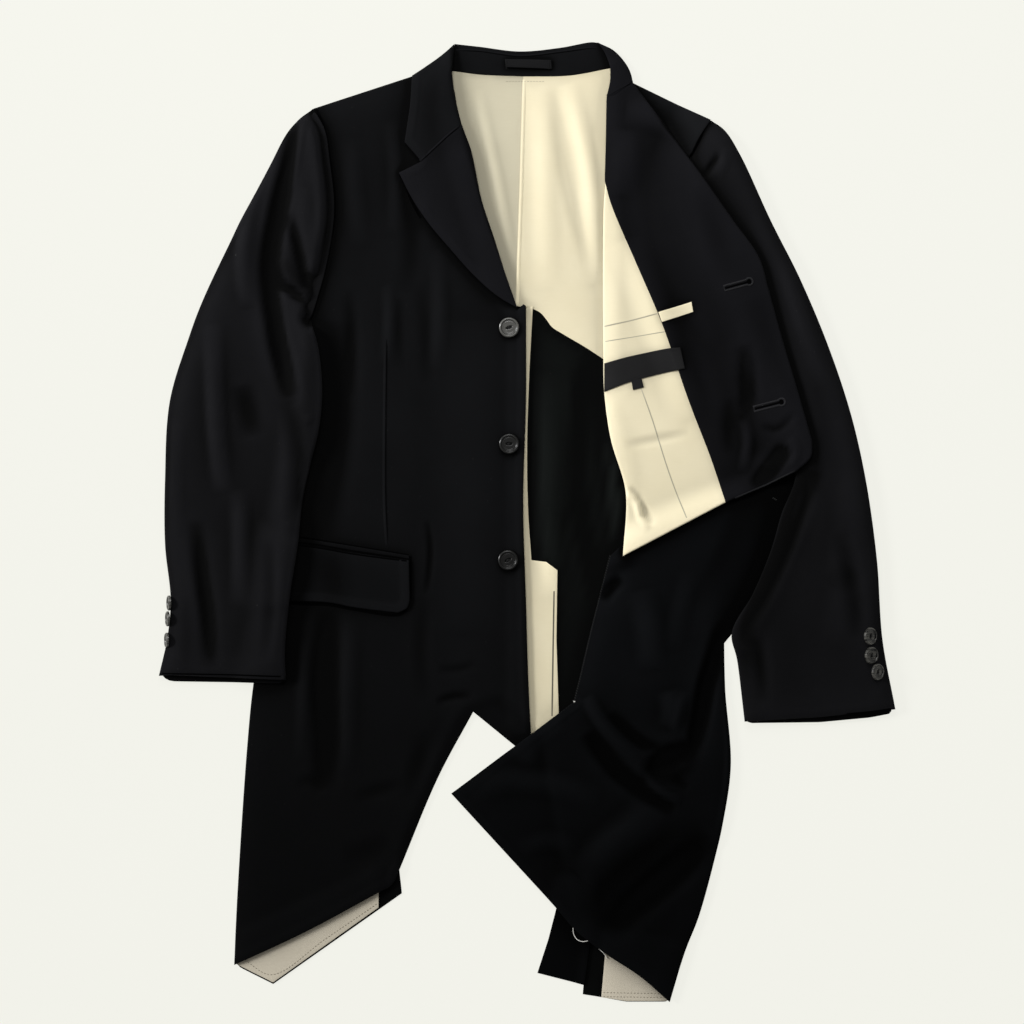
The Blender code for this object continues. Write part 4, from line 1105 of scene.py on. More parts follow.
def on_ring(values, places):
    """Values at fractional places round the ring."""
    low = np.floor(places).astype(int)
    share = (places - low).reshape(-1, *([1] * (values.ndim - 1)))
    return (1 - share) * values[low % len(values)] + share * values[(low + 1) % len(values)]


def four_sides(ring, corners):
    """Ring numbers of the four corners, each the ring's nearest point, rising round the ring."""
    found = [int(np.argmin(np.hypot(*(ring - corner).T))) for corner in corners]
    for k in range(1, 4):
        while found[k] <= found[k - 1]:
            found[k] += len(ring)
    return found + [found[0] + len(ring)]


def side_length(ring, start, stop):
    """Length of the ring from one of its points to a later one."""
    points = ring[np.arange(start, stop + 1) % len(ring)]
    return np.hypot(*np.diff(points, axis=0).T).sum()


def plan_grid(p, ring, inner):
    """Numbers of columns and rows, and the stations on the four sides."""
    ends = four_sides(ring, p.corners)
    across = max(side_length(ring, ends[0], ends[1]), side_length(ring, ends[2], ends[3]))
    up = max(side_length(ring, ends[1], ends[2]), side_length(ring, ends[3], ends[4]))
    columns, rows = max(4, ceil(across / p.spacing)), max(4, ceil(up / p.spacing))
    east_pins, west_pins = [], []
    for west, east in p.ties:
        east_place = ends[1] + nearest_number(ring, ends[1], ends[2], east)
        west_place = ends[3] + nearest_number(ring, ends[3], ends[4], west)
        share = (side_length(ring, ends[1], east_place) / side_length(ring, ends[1], ends[2])
                 + side_length(ring, west_place, ends[4]) / side_length(ring, ends[3], ends[4])) / 2
        share = round(share * rows) / rows
        east_pins.append((east_place, share))
        west_pins.insert(0, (west_place, 1 - share))
    pins = ((), east_pins, (), west_pins)
    places = [stations(ring, inner, ends[k], ends[k + 1], columns if k % 2 == 0 else rows, pins[k])
              for k in range(4)]
    return columns, rows, places


def nearest_number(ring, start, stop, point):
    """How far into a side, in ring points, the side comes nearest to a point."""
    return int(np.argmin(np.hypot(*(ring[np.arange(start, stop + 1) % len(ring)] - point).T)))


def filled(south, east, north, west):
    """Coons patch: rows blended between the west and east sides plus columns between south and north,
    less the corners' own blend."""
    u = np.linspace(0, 1, len(south))[None, :, None]
    v = np.linspace(0, 1, len(east))[:, None, None]
    corners = ((1 - u) * (1 - v) * south[0] + u * (1 - v) * south[-1]
               + (1 - u) * v * north[0] + u * v * north[-1])
    return (1 - v) * south[None] + v * north[None] + (1 - u) * west[:, None] + u * east[:, None] - corners


def eased(values):
    """The mean of each value and the two on each side of it round a ring."""
    return np.convolve(np.concatenate((values[-2:], values, values[:2])), np.ones(5) / 5, "valid")


def fold_reach(p, lies, ring, owners):
    """Each outline point's roll radius, how far its rim goes down, and how far it is tucked in."""
    low = read(lies[p.layer], *ring.T)
    top = low + p.thick
    radius = np.full(len(ring), p.thick / 2)
    rolled = np.isin(owners, p.rolled)
    wrapped = np.minimum(read(lies[p.wraps], *ring.T) + PLY_GAP, low)
    low = np.where(rolled, wrapped, low)
    radius = np.where(rolled, np.clip(ROLL_SHARE * (top - low), p.thick / 2, WIDEST_ROLL), radius)
    tucked = np.where(np.isin(owners, p.tucked), p.tuck, 0.0)
    return eased(radius), eased(low - read(lies[p.layer], *ring.T)), eased(tucked)


def round_faces(rings):
    """Faces between each ring of point numbers and the next, closed round."""
    here, there = rings[..., :-1, :], rings[..., 1:, :]
    return np.column_stack((here.ravel(), there.ravel(), np.roll(there, -1, axis=-1).ravel(),
                            np.roll(here, -1, axis=-1).ravel()))


def rim_round(inside, outside, top, low):
    """Rows of points on a half ellipse from the top of a rim round to its underside, and their flat
    places, evenly spread by the turn."""
    turns = pi * np.arange(1, RIM_STEPS + 1) / (RIM_STEPS + 1)
    middle, half = (top + low) / 2, (top - low) / 2
    place = inside[None] + (outside - inside)[None] * np.sin(turns)[:, None, None]
    height = middle[None] + half[None] * np.cos(turns)[:, None]
    flat = inside[None] + (outside - inside)[None] * (turns / 2)[:, None, None]
    return np.dstack((place, height[..., None])).reshape(-1, 3), flat.reshape(-1, 2)


def shell(p, lies):
    """A panel's shell: top and underside grids inside the rim, and the rim a half ellipse round them."""
    ring, owners = ring_points(p.edges)
    radius, drop, tucked = fold_reach(p, lies, ring, owners)
    edge = np.where(np.isin(owners, SEWN), -SEAM_LAP, SEAM_GAP / 2) + tucked
    outer, inner = drawn_in(ring, edge), drawn_in(ring, edge + radius)
    columns, rows, places = plan_grid(p, ring, inner)
    south, east = on_ring(inner, places[0]), on_ring(inner, places[1])
    north, west = on_ring(inner, places[2])[::-1], on_ring(inner, places[3])[::-1]
    grid = filled(south, east, north, west)
    x, y = grid[..., 0].ravel(), grid[..., 1].ravel()
    underside = read(lies[p.layer], x, y)
    topside = underside + p.thick + turned_rise(p, x, y)
    count = len(x)
    number = np.arange(count).reshape(rows + 1, columns + 1)
    loop = np.concatenate((number[0, :-1], number[:-1, -1], number[-1, :0:-1], number[:0:-1, 0]))
    round_places = np.concatenate([part[:-1] for part in places])
    rim, rim_flat = rim_round(on_ring(inner, round_places), on_ring(outer, round_places), topside[loop],
                              underside[loop] + on_ring(drop, round_places))
    points = np.vstack((np.column_stack((x, y, topside)), np.column_stack((x, y, underside)), rim))
    flat = np.vstack((np.column_stack((x, y)), np.column_stack((x, y)), rim_flat))
    a, b = number[:-1, :-1].ravel(), number[:-1, 1:].ravel()
    c, d = number[1:, 1:].ravel(), number[1:, :-1].ravel()
    rim_numbers = 2 * count + np.arange(RIM_STEPS * len(loop)).reshape(RIM_STEPS, -1)
    faces = np.vstack((np.column_stack((a, b, c, d)), np.column_stack((d, c, b, a)) + count,
                       round_faces(np.vstack((loop, rim_numbers, loop + count)))))
    return points, faces, flat


def turned_rise(p, x, y):
    """How far turned-in allowances lift the cloth near the panel's turned edges."""
    lift = np.zeros(x.shape)
    for name in p.turned:
        gap = nearest(edge_points(name)[::2], x, y)[0]
        lift = np.maximum(lift, TURNED_RISE * smooth_step((TURNED_BAND - gap) / TURNED_EDGE + 0.5))
    return lift


def how_shaded(points, around, name):
    """Share from 0 to 1 of painted shade, less than half being painted light: how far the cloth round a
    point stands over it, half being level with it, as the sum for the cloth far round it, some way round and
    close by, each held to its own limits, and of the panel's painted shades."""
    share = 0.5 + shade_on(name, points)
    for mean, full, limits in zip(around, (FAR_RANGE, HOLLOW_RANGE, FOOT_RANGE),
                                  (FAR_LIMITS, HOLLOW_LIMITS, FOOT_LIMITS)):
        share += np.clip((read(mean, points[:, 0], points[:, 1]) - points[:, 2]) / (2 * full), *limits)
    return np.clip(share, 0, 1)


def make_panel(p, lies, around):
    """The panel as one closed mesh, standing for the solid of the same name."""
    points, faces, flat = shell(p, lies)
    piece = to_mesh(p.name + "_cloth", points, faces, MATERIALS[p.cloth], flat,
                    painted_shade=how_shaded(points, around, p.name))
    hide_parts(p.name)
    return piece


PANEL = {p.name: p for p in PANELS}


def top_of(name, x, y):
    """Height of a panel's outer face at points."""
    p = PANEL[name]
    return read(lies[p.layer], x, y) + p.thick + turned_rise(p, x, y)


def even_path(points, step, curved=True):
    """The curve or the straight sides through the points, at even steps."""
    path = curve_points(points) if curved else line_points(points)
    reach = np.concatenate(([0], np.cumsum(np.hypot(*np.diff(path, axis=0).T))))
    count = max(2, int(round(reach[-1] / step)) + 1)
    even = np.linspace(0, reach[-1], count)
    return np.column_stack([np.interp(even, reach, path[:, axis]) for axis in (0, 1)])


def across_path(path):
    """Unit vectors to the left of the path's way at each point."""
    way = np.gradient(path, axis=0)
    way /= np.maximum(np.hypot(*way.T), 1e-9)[:, None]
    return np.column_stack((-way[:, 1], way[:, 0]))


# A sewn line's step along its path, and the share of its length over which each end rises
LINE_STEP, LINE_END = 1.6, 0.125
# Profiles of sewn lines: distance to the left of the line, height over the cloth, and the share of painted
# shade, less than half being painted light
LEDGE = ((-2.6, -0.5, 0.75), (-1.2, -0.12, 0.95), (-0.3, 0.08, 1.0), (0.1, 0.85, 0.7), (0.9, 1.05, 0.2),
         (2.2, 0.6, 0.25), (4.2, -0.5, 0.45))
FINE_LEDGE = ((-1.5, -0.4, 0.8), (-0.7, 0.06, 1.0), (-0.1, 0.1, 1.0), (0.15, 0.5, 0.6), (0.7, 0.6, 0.2),
              (1.4, 0.35, 0.3), (2.4, -0.4, 0.45))
# A flat strip of painted shadow at the foot of a raised edge
FOOT = ((-2.2, -0.3, 0.75), (-1.4, 0.12, 0.95), (0.0, 0.2, 1.0), (1.2, 0.2, 1.0), (2.0, -0.2, 1.0))
# A ridge with painted light along its crest
RAW = ((-1.6, -0.4, 0.5), (-0.9, 0.5, 0.2), (0.0, 0.75, 0.0), (0.8, 0.4, 0.2), (1.4, -0.4, 0.5))
GROOVE = ((-1.9, -0.35, 0.5), (-1.1, 0.1, 0.7), (-0.5, 0.14, 1.0), (0.5, 0.14, 1.0), (1.1, 0.1, 0.7),
          (1.9, -0.35, 0.5))


def grid_faces(rows, columns):
    """Faces of a grid of points numbered row by row."""
    number = np.arange(rows * columns).reshape(rows, columns)
    return np.column_stack((number[:-1, 1:].ravel(), number[1:, 1:].ravel(), number[1:, :-1].ravel(),
                            number[:-1, :-1].ravel()))


def sewn_line(name, on, points, profile, look, curved, scale):
    """A seam, fold or welt edge, or a strip of painted shadow: a profile carried along a path that follows
    the panel's face, its height scaled down to nothing at both ends and its painted shade fading there too."""
    path = even_path(points, LINE_STEP, curved)
    left = across_path(path)
    offset, rise, painted_shade = np.array(profile).T
    share = np.linspace(0, 1, len(path))
    ends = np.clip(np.minimum(share, 1 - share) / LINE_END, 0, 1) ** 0.5
    ground = path[:, None] + left[:, None] * (offset * scale)[None, :, None]
    x, y = ground[..., 0], ground[..., 1]
    lifted = np.where(rise > 0, rise * ends[:, None], rise)
    z = top_of(on, x.ravel(), y.ravel()).reshape(x.shape) + lifted * scale
    # Painted shade and light of the profile, fading to none at both ends
    shade_depth = 0.5 + (painted_shade - 0.5) * ends[:, None]
    points = np.column_stack((x.ravel(), y.ravel(), z.ravel()))
    to_mesh(name, points, grid_faces(*x.shape), MATERIALS[look], points[:, :2],
            painted_shade=shade_depth.ravel())


def tubes(paths, radii, sides=6):
    """Round tubes along paths (tubes, stations, 3), each station's circle square to the way, its radius
    falling to a point at both ends; points and faces of them all."""
    count, stations_each, _ = paths.shape
    way = np.gradient(paths, axis=1)
    way /= np.maximum(np.linalg.norm(way, axis=2, keepdims=True), 1e-9)
    side = np.cross(way, (0, 0, 1.0))
    side /= np.maximum(np.linalg.norm(side, axis=2, keepdims=True), 1e-9)
    up = np.cross(side, way)
    turn = 2 * pi * np.arange(sides) / sides
    circle = (side[:, :, None] * np.cos(turn)[:, None] + up[:, :, None] * np.sin(turn)[:, None])
    points = paths[:, :, None] + circle * radii[None, :, None, None]
    number = np.arange(count * stations_each * sides).reshape(count, stations_each, sides)
    return points.reshape(-1, 3), round_faces(number)[:, [0, 3, 2, 1]]


# A stitch: its radius from end to end as shares, how far it stands up, in radii, and how far it sinks
ROUNDED = np.array((0.05, 0.6, 0.9, 1.0, 1.0, 0.9, 0.6, 0.05))
STITCH_RISE, STITCH_SINK = 0.9, 0.1
# A worked buttonhole: radius of its eye, half its width, the pitch of its stitches, the length and
# radius of these and of the bar's, and the points along and across its slit and its height
EYE, HALF_WIDE, PURL_PITCH = 3.9, 2.7, 0.75
PURL, BAR = (2.6, 0.44), (2.2, 0.42)
SLIT_ROWS, SLIT_COLUMNS, SLIT_LIFT = 24, 5, 0.14


def stitches(name, on, places, ways, length, radius, look):
    """Short threads, each a rounded tube over its place on a panel's face, its ends sunk in the cloth."""
    spread = np.linspace(-0.5, 0.5, len(ROUNDED))
    flat = places[:, None] + ways[:, None] * (spread * length)[None, :, None]
    ground = top_of(on, flat[..., 0].ravel(), flat[..., 1].ravel()).reshape(flat.shape[:2])
    arch = STITCH_RISE * radius * np.cos(pi * spread) - STITCH_SINK
    paths = np.dstack((flat, (ground + arch[None])[..., None]))
    points, faces = tubes(paths, radius * ROUNDED)
    to_mesh(name, points, faces, MATERIALS[look], points[:, :2])


def stitch_row(name, on, points, pitch, length, radius, look, turn, curved, inset):
    """Even stitches along a path, each turned from it by an angle and moved to its left by an inset."""
    path = even_path(points, pitch, curved)
    left = across_path(path)
    way = np.column_stack((left[:, 1], -left[:, 0]))
    aim = way * cos(radians(turn)) + left * sin(radians(turn))
    stitches(name, on, path + left * inset, aim, length, radius, look)


def keyhole(name, on, start, end):
    """A worked buttonhole: close stitches square to a keyhole outline round its slit, a near-black sheet of
    painted shade just over the cloth, and a bar at its narrow end."""
    start, end = np.array(start, float), np.array(end, float)
    reach = hypot(*(end - start))
    way = (end - start) / reach
    left = np.array((-way[1], way[0]))
    turn = np.radians(np.arange(-140, 141, 14))
    round_eye = np.column_stack((reach - EYE + EYE * np.cos(turn), EYE * np.sin(turn)))
    run = np.linspace(0, reach - 2 * EYE + 0.6, max(4, int(reach / 0.8)))
    outline = np.vstack((np.column_stack((run, np.full(len(run), -HALF_WIDE))), round_eye,
                         np.column_stack((run[::-1], np.full(len(run), HALF_WIDE)))))
    path = start + outline[:, :1] * way + outline[:, 1:] * left
    path = even_path([tuple(point) for point in path], PURL_PITCH, False)
    stitches(name + "_stitches", on, path, across_path(path), *PURL, "buttonhole_thread")
    bar = start + left * np.linspace(-HALF_WIDE, HALF_WIDE, 5)[:, None]
    stitches(name + "_bar", on, bar, np.tile(way, (len(bar), 1)), *BAR, "buttonhole_thread")
    along = np.linspace(0.2, reach - EYE * 0.5, SLIT_ROWS)
    wide = 0.9 + (EYE - 1.9) * np.exp(-((along - (reach - EYE)) / 1.8) ** 2)
    across = np.linspace(-1, 1, SLIT_COLUMNS)
    ground = (start + along[:, None, None] * way + (wide[:, None] * across)[..., None] * left)
    z = top_of(on, ground[..., 0].ravel(), ground[..., 1].ravel()) + SLIT_LIFT
    flat = ground.reshape(-1, 2)
    to_mesh(name + "_slit", np.column_stack((flat, z)), grid_faces(SLIT_ROWS, SLIT_COLUMNS),
            MATERIALS["slit"], flat, painted_shade=np.ones(len(flat)))


# Points round a button
BUTTON_STATIONS = 64
# Middle and half width, as shares of the radius, of a button's rim, of the fine ring in its face and of
# the moat between them, and where the face starts to sink and over how much
RIM, RING, MOAT = (0.86, 0.13), (0.60, 0.05), (0.76, 0.07)
SINKS_AT, SINKS_OVER = 0.80, 0.12
# How far the face lies under the full thickness, the rim stands up, the face sinks and the ring stands up
FACE_DROP, RIM_RISE, FACE_SINK, RING_RISE = 0.35, 0.6, 0.6, 0.2
# Half the length and width of the eye, each hole's place along it and radius, as shares of the button's
# radius, and how deep both go
EYE_LONG, EYE_WIDE, HOLE_AT, HOLE_WIDE = 0.46, 0.2, 0.2, 0.09
EYE_DEPTH, HOLE_DEPTH = 0.55, 1.0
# The thread in the eye: strands, half their spread and their radius as shares of the button's radius, and
# how far under the full thickness their ends lie, and how far their middles stand over these
STRANDS, STRAND_SPREAD, STRAND_RADIUS = 3, 0.055, 0.045
STRAND_DROP, STRAND_RISE = 1.5, 0.75


def button_profile(radius, thick):
    """Radii and heights from the middle of the face over the rolled rim to the middle of the back, and
    how many of them the face has."""
    face = np.concatenate((np.linspace(0, 0.6, 26), np.linspace(0.63, 0.97, 16)))
    top = (thick - FACE_DROP + RIM_RISE * hump(face, *RIM)
           - FACE_SINK * smooth_step((SINKS_AT - face) / SINKS_OVER) + RING_RISE * hump(face, *RING))
    side_turn = np.linspace(0.12, 0.5, 6) * pi
    side = thick * (0.5 + 0.38 * np.cos(side_turn * 1.9))
    r = np.concatenate((face, 0.97 + 0.03 * np.sin(side_turn), (0.9, 0.45, 0.02))) * radius
    return r, np.concatenate((top, side, (0.0, -0.1, -0.1))), len(face)


def leaning(x, y, z, lean, place):
    """Points turned about +Y by the lean and moved to their place, as an array with x, y and z last."""
    return np.dstack((x * cos(lean) + z * sin(lean) + place[0], y + place[1],
                      z * cos(lean) - x * sin(lean) + place[2]))


def button(node, place, radius, thick, tilt, eye_turn, look):
    """A sew-through button: a closed profile turned about its axis, a lens-shaped eye and two holes
    sunk in its face, tilted about +Y, and the thread that holds it."""
    r, profile, face_rows = button_profile(radius, thick)
    angle = 2 * pi * np.arange(BUTTON_STATIONS) / BUTTON_STATIONS
    x, y = r[:, None] * np.cos(angle), r[:, None] * np.sin(angle)
    u = (x * cos(eye_turn) + y * sin(eye_turn)) / radius
    v = (y * cos(eye_turn) - x * sin(eye_turn)) / radius
    eye = smooth_step((1 - (u / EYE_LONG) ** 2 - (v / EYE_WIDE) ** 2) * 1.6)
    holes = sum(smooth_step(1.4 - np.hypot(u - at, v) / HOLE_WIDE) for at in (-HOLE_AT, HOLE_AT))
    on_face = (np.arange(len(r)) < face_rows)[:, None]
    z = profile[:, None] - np.where(on_face, EYE_DEPTH * eye + HOLE_DEPTH * np.minimum(holes, 1), 0)
    lean = radians(tilt)
    points = leaning(x, y, z, lean, place).reshape(-1, 3)
    # Painted shade in the sunken face, the moat, the eye and the holes
    sunk_face = smooth_step((SINKS_AT - r / radius) / SINKS_OVER)[:, None]
    moat = hump(r / radius, *MOAT)[:, None]
    shade_depth = np.clip(0.3 + 0.2 * sunk_face + 0.5 * moat + 0.35 * eye + 0.5 * holes, 0, 1)
    piece = to_mesh(node + "_horn", points, round_faces(np.arange(x.size).reshape(x.shape)),
                    MATERIALS[look], points[:, :2],
                    painted_shade=np.where(on_face, shade_depth, 0.5).ravel())
    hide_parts(node)
    button_thread(node, place, radius, thick, lean, eye_turn)


def button_thread(node, place, radius, thick, lean, eye_turn):
    """Strands side by side over the bridge between a button's two holes, each an arch of a cosine."""
    spread = np.linspace(-0.5, 0.5, len(ROUNDED))
    along = (spread * EYE_LONG * radius)[None]
    beside = (np.linspace(-STRAND_SPREAD, STRAND_SPREAD, STRANDS) * radius)[:, None]
    x = along * cos(eye_turn) - beside * sin(eye_turn)
    y = along * sin(eye_turn) + beside * cos(eye_turn)
    z = np.broadcast_to(thick - STRAND_DROP + STRAND_RISE * np.cos(pi * spread), x.shape)
    points, faces = tubes(leaning(x, y, z, lean, place), STRAND_RADIUS * radius * ROUNDED)
    to_mesh(node + "_thread", points, faces, MATERIALS["dark_thread"], points[:, :2])


# Front buttons: place, the turn of the eye in degrees, and the look, with painted light on the top button
# and painted shade on the lowest
FRONT_BUTTONS = ((-19.4, 209.5, 20, "horn_painted_light"), (-19.4, 84.2, 0, "horn"), (-20.5, -41.0, 28, "horn_painted_shade"))
FRONT_RADIUS, FRONT_THICK, FRONT_STAND = 10.8, 3.0, 0.2
# Left cuff buttons: place, tilt in degrees and radius
CUFF_BUTTONS_LEFT = ((368.7, -122.5, 38, 9.3), (369.9, -143.2, 34, 9.2), (376.6, -161.0, 38, 8.9))
LEFT_STAND, LEFT_LEAN, LEFT_EYE_TURN = 0.9, 0.6, radians(70)
# How far each right cuff button sits from its solid, inward and up the sleeve
CUFF_BUTTONS_RIGHT = ((1.2, 0.8), (1.4, 3.8), (3.6, 0.8))
RIGHT_RADIUS, RIGHT_TILT, RIGHT_LOWEST, RIGHT_EYE_TURN = 8.2, -72, 8.4, radians(90)
CUFF_THICK = 2.6


def make_buttons():
    """The front buttons and those of both cuffs."""
    for number, (x, y, turn, look) in enumerate(FRONT_BUTTONS, 1):
        height = float(top_of("front_right", np.array([x]), np.array([y]))[0])
        button(f"button_front_{number}", (x, y, height + FRONT_STAND), FRONT_RADIUS, FRONT_THICK, 0,
               radians(turn), look)
    for number, (x, y, tilt, radius) in enumerate(CUFF_BUTTONS_LEFT, 1):
        height = float(top_of("sleeve_left_top", np.array([x]), np.array([y]))[0])
        button(f"button_sleeve_left_{number}", (x - LEFT_LEAN, y, height + LEFT_STAND), radius, CUFF_THICK,
               tilt, LEFT_EYE_TURN, "horn_cuff")
    for number, (inward, up) in enumerate(CUFF_BUTTONS_RIGHT, 1):
        low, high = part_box(f"button_sleeve_right_{number}")
        middle = [(a + b) / 2 / MM for a, b in zip(low, high)]
        place = (middle[0] + inward, middle[1] + up, max(middle[2], RIGHT_LOWEST))
        button(f"button_sleeve_right_{number}", place, RIGHT_RADIUS, CUFF_THICK, RIGHT_TILT,
               RIGHT_EYE_TURN, "horn_edge")


# Sewn lines: name, panel, profile, look, whether curved, scale, and the places along them
# Lines in the slit look are near-black painted shade in seams, jets and cuff mouths, and the foot lines are
# painted shadows beside the flap and the collar's notch
SEWN_LINES = (
    ("armhole_seam_right", "sleeve_right_top", GROOVE, "slit", True, 1, ((-232.2, 220.3), (-229, 234.4),
        (-223.6, 256), (-217.1, 277.6), (-212.8, 299.2), (-208.4, 320.8), (-207.4, 347.8),
        (-211.7, 385.6), (-218.2, 423.4), (-227.9, 445))),
    ("armhole_seam_left", "sleeve_left_top", GROOVE, "slit", True, 0.8, ((176, 393.1), (185.8, 410.4),
        (191.2, 426.6))),
    ("dart_right", "front_right", LEDGE, "wool", True, 1, ((-150.1, -24.8), (-152.3, 23.8),
        (-152.3, 110.2), (-151.2, 196.6))),
    ("jet_line_high", "front_right", GROOVE, "slit", True, 0.85, ((-273.2, -13), (-231.1, -18.4),
        (-186.8, -25.9), (-127.4, -35.6))),
    ("jet_line_low", "pocket_jet_right", GROOVE, "slit", True, 0.75, ((-273.2, -19.4), (-231.1, -23.8),
        (-186.8, -31.3), (-127.4, -40))),
    ("cuff_mouth_right", "sleeve_right_top", GROOVE, "slit", True, 0.6, ((-393.1, -163.1),
        (-353.2, -163.6), (-299.2, -164.7), (-264.6, -165.8))),
    ("cuff_mouth_left", "sleeve_left_top", GROOVE, "slit", True, 0.6, ((343.4, -206.3), (368.3, -204.1),
        (392, -200.9))),
    ("gorge_line_right", "lapel_right", FINE_LEDGE, "facing", True, 1.1, ((-114.5, 387.7),
        (-100.4, 400.7), (-86.4, 413.6), (-72.4, 425.5))),
    ("gorge_line_left", "front_left_facing", FINE_LEDGE, "facing", True, 1, ((86.4, 457.9), (94, 462.2),
        (106.9, 469.8), (112.3, 473))),
    ("collar_stand_seam", "collar_stand", FINE_LEDGE, "wool", True, 1, ((-76.7, 508.7), (-50.8, 507.6),
        (-7.6, 502.2), (35.6, 506.5), (68, 510.8), (75.6, 510.8))),
    ("lining_pleat", "back_lining_left", LEDGE, "cream", False, 1.1, ((-4.3, 477.4), (-7.6, 358.6),
        (-11.9, 234.4))),
    ("pocket_line_high", "front_left_lining", GROOVE, "cream_shaded", True, 0.6, ((83.2, 210.6),
        (112.3, 217.1), (141.5, 224.6))),
    ("pocket_line_low", "front_left_lining", GROOVE, "cream_shaded", True, 0.4, ((84.2, 194.4),
        (117.7, 199.8), (151.2, 205.2))),
    ("lining_seam", "front_left_lining", GROOVE, "cream_shaded", True, 0.55, ((171.7, 4.3), (160.9, 31.3),
        (150.1, 61.6), (135, 110.2), (123.1, 143.6))),
    ("tongue_slit", "front_right_lining", GROOVE, "lining_shade", True, 0.7, ((27, -209.5),
        (28.1, -138.2), (29.2, -74.5))),
    ("flap_foot_side", "front_right", FOOT, "slit", False, 1, ((-125.8, -84.2), (-125.8, -36.7))),
    ("flap_foot_low", "front_right", FOOT, "slit", True, 1, ((-273.2, -86.9), (-231.1, -88.6),
        (-212.8, -89.1), (-186.8, -94), (-138.2, -99.9), (-129.6, -95))),
    ("flap_top_foot", "pocket_flap_right", GROOVE, "slit", True, 0.6, ((-273.2, -23.2), (-231.1, -27),
        (-186.8, -34.6), (-129.6, -42.1))),
    ("collar_notch_foot", "front_right", FOOT, "slit", True, 0.9, ((-137.2, 373.7), (-132.8, 369.4),
        (-125.3, 347.8), (-114.5, 327.2))),
    ("facing_raw_edge", "front_left_facing", RAW, "raw_edge", False, 0.7, ((223.6, 25.9), (257, 40),
        (287.3, 55.1))),
)

# Rows of stitches: name, panel, look, pitch, length, radius, turn, inset, whether curved, places
STITCH_ROWS = (
    ("skirt_overcast", "skirt_left", "dim_thread", 2.6, 2.4, 0.3, 62, 0.9, True, ((88.6, -36.7),
        (78.8, -75.6), (65.9, -127.4), (57.2, -165.2), (49.7, -194.4))),
    ("skirt_overcast_low", "skirt_left", "dark_thread", 3, 2.2, 0.28, 60, 0.8, False, ((49.7, -194.4),
        (36.7, -204.1))),
    ("tail_row_right", "tail_lining_right", "lining_thread", 3.6, 2.4, 0.32, 0, 0, True, (
        (-306.7, -470.9), (-275.4, -488.2), (-217.1, -449.3), (-163.1, -412.6))),
    ("tail_row_right_high", "tail_lining_right", "lining_thread", 3.6, 2.4, 0.3, 0, 0, False, (
        (-304.6, -461.2), (-167.4, -392))),
    ("tail_row_left_one", "tail_lining_left", "lining_thread", 3.6, 2.4, 0.32, 0, 0, False, (
        (83.2, -507.6), (152.3, -508.7))),
    ("tail_row_left_two", "tail_lining_left", "lining_thread", 3.6, 2.4, 0.32, 0, 0, False, (
        (83.2, -511.9), (151.2, -513))),
    ("loop_end_left", "hanger_loop", "dark_thread", 1, 2.2, 0.25, 90, 0, False, ((-22.1, 497.9),
        (-22.1, 488.7))),
    ("loop_end_right", "hanger_loop", "dark_thread", 1, 2.2, 0.25, 90, 0, False, ((23.8, 497.3),
        (23.8, 488.2))),
    ("label_row_high", "label", "dark_thread", 2.2, 1.6, 0.22, 0, -1, True, ((83.2, 164.2),
        (97.2, 173.9), (122, 180.4), (164.2, 186.8))),
    ("label_row_low", "label", "dark_thread", 2.2, 1.6, 0.22, 0, 1, True, ((84.2, 141.5), (101.5, 149),
        (126.4, 157.7), (168.5, 164.2))),
    ("neck_gathers", "back_lining_left", "lining_thread", 3.2, 1.8, 0.25, 0, 0, False, ((-21.6, 475.2),
        (17.3, 475.2))),
    ("facing_tack", "front_left_facing", "dim_thread", 1.1, 2, 0.25, 70, 0, False, ((264.6, 25.9),
        (267.8, 23.8))),
)


# Where the skirt is tacked, and the loose thread's way, radius, depth under the skirt's underside and
# height of its middle over what it lies on
SKIRT_TACK = (51.0, -193.5)
THREAD_WAY = ((49.7, -437.4), (50.2, -443.9), (54, -450.4), (60.5, -452.5), (67, -451.4), (73.4, -455.8),
              (78.8, -461.2), (83.2, -465.5), (86.4, -470.9))
THREAD_RADIUS, UNDER_SKIRT, THREAD_LIFT = 0.45, 1.2, 0.7


def make_sewing():
    """Every sewn line, row of stitches, buttonhole, tack and loose thread, on the cloth as it lies."""
    for name, on, profile, look, curved, scale, places in SEWN_LINES:
        sewn_line(name, on, places, profile, look, curved, scale)
    for name, on, look, pitch, length, radius, turn, inset, curved, places in STITCH_ROWS:
        stitch_row(name, on, places, pitch, length, radius, look, turn, curved, inset)
    keyhole("buttonhole_one", "front_left_facing", (211.7, 250.6), (241.9, 258.7))
    keyhole("buttonhole_two", "front_left_facing", (244.1, 121.5), (276.5, 129.6))
    ways = np.array([(1.0, 0.0), (0.6, 0.8), (-0.6, 0.8)])
    stitches("skirt_tack", "skirt_left", np.tile(SKIRT_TACK, (3, 1)), ways, 2.8, 0.3, "white_thread")
    loose_thread()


def loose_thread():
    """A loose white thread: one round tube along a soft curve on the back's inner face and the floor."""
    path = even_path(THREAD_WAY, 1.0)
    ground = np.minimum(read(cloth_top, *path.T), read(lies["skirt"], *path.T) - UNDER_SKIRT)
    line = np.column_stack((path, soft_line(ground) + THREAD_LIFT))
    points, faces = tubes(line[None], np.full(len(line), THREAD_RADIUS), 8)
    piece = to_mesh("loose_thread", points, faces, MATERIALS["white_thread"], points[:, :2])


def soft_line(values):
    """Heights along a line, eased over seven of them so that the thread bends softly."""
    padded = np.concatenate((np.repeat(values[:1], 3), values, np.repeat(values[-1:], 3)))
    return np.maximum(np.convolve(padded, np.ones(7) / 7, "valid"), 0)


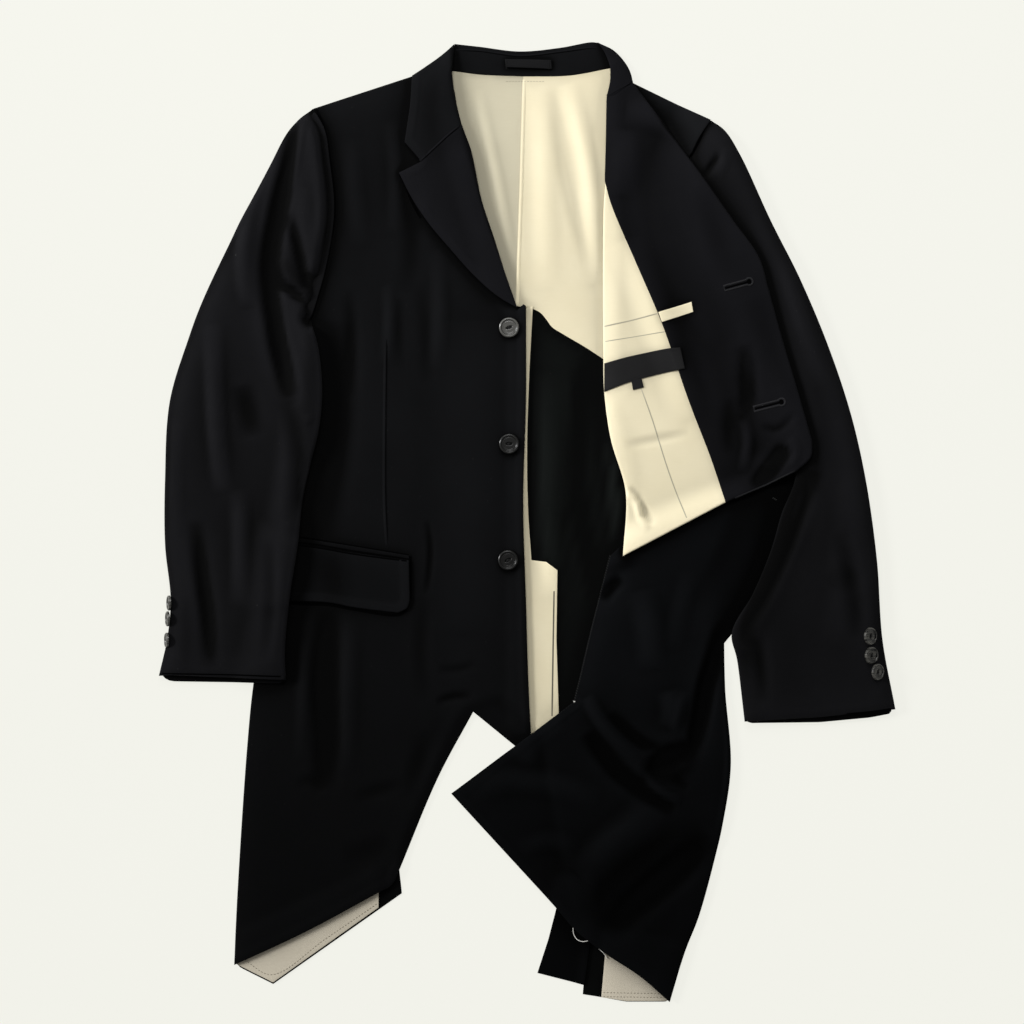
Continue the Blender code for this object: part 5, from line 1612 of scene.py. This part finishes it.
# The studio and the camera, in metres, watts and degrees
VIEW_MIDDLE, VIEW_WIDTH = (-0.0162, 0.0108), 1.106
LENS, SENSOR = 85.0, 36.0
FLOOR_REACH = 6.0
FLOOR_COLOUR = (0.896, 0.896, 0.831)
FLOOR_SHARE = 0.1
SKY_COLOUR, SKY_STRENGTH = (1.0, 1.0, 0.99), 0.31
KEY_STRENGTH = 2.65
KEY_SPREAD = 14.0
KEY_FROM = (-1.8, 0.55, 0.9)
TOP_POWER = 24.0
TOP_SIZE = 1.2
TOP_FROM = (-0.2, 1.4, 1.4)


def floor_look():
    """Pale matt board, lit from within as well, so that shadows on it stay faint."""
    made, tree, shader = new_look("pale_floor")
    spot = add(tree, "ShaderNodeTexCoord").outputs["Object"]
    light = [FLOOR_SHARE * c for c in FLOOR_COLOUR]
    tone = two_tones(tree, noise(tree, spot, 40.0, 3.0), [0.99 * c for c in light], light)
    tree.links.new(tone, shader.inputs["Base Color"])
    shader.inputs["Roughness"].default_value = 1.0
    shader.inputs["Specular IOR Level"].default_value = 0.0
    shader.inputs["Emission Color"].default_value = (*FLOOR_COLOUR, 1)
    shader.inputs["Emission Strength"].default_value = 1 - FLOOR_SHARE
    return made


def studio():
    """A pale floor, an even sky, a low key light from the left and a broad one above the collar."""
    mesh = bpy.data.meshes.new("studio_floor")
    corners = [(x * FLOOR_REACH, y * FLOOR_REACH, 0) for x, y in ((-1, -1), (1, -1), (1, 1), (-1, 1))]
    mesh.from_pydata(corners, [], [(0, 1, 2, 3)])
    mesh.materials.append(floor_look())
    floor = bpy.data.objects.new("studio_floor", mesh)
    bpy.context.scene.collection.objects.link(floor)
    world = bpy.data.worlds.new("studio_sky")
    world.use_nodes = True
    sky = world.node_tree.nodes["Background"]
    sky.inputs["Color"].default_value = (*SKY_COLOUR, 1)
    sky.inputs["Strength"].default_value = SKY_STRENGTH
    bpy.context.scene.world = world
    key = bpy.data.lights.new("key_light", "SUN")
    key.energy, key.angle = KEY_STRENGTH, radians(KEY_SPREAD)
    top = bpy.data.lights.new("top_light", "AREA")
    top.shape, top.size, top.energy = "DISK", TOP_SIZE, TOP_POWER
    for light, place in ((key, KEY_FROM), (top, TOP_FROM)):
        lamp = bpy.data.objects.new(light.name, light)
        lamp.location = place
        lamp.rotation_euler = Vector(place).to_track_quat("Z", "Y").to_euler()
        bpy.context.scene.collection.objects.link(lamp)


def camera():
    """Straight down on the middle of the picture."""
    lens = bpy.data.cameras.new("overhead_camera")
    lens.lens, lens.sensor_width = LENS, SENSOR
    lens.clip_end = 20.0
    view = bpy.data.objects.new("overhead_camera", lens)
    view.location = (*VIEW_MIDDLE, VIEW_WIDTH * LENS / SENSOR)
    bpy.context.scene.collection.objects.link(view)
    bpy.context.scene.camera = view


lies, cloth_top = lay_cloth()
round_height = level_round(cloth_top)
for p in PANELS:
    make_panel(p, lies, round_height)
make_buttons()
make_sewing()
studio()
camera()
bpy.context.scene.view_settings.view_transform = "Standard"
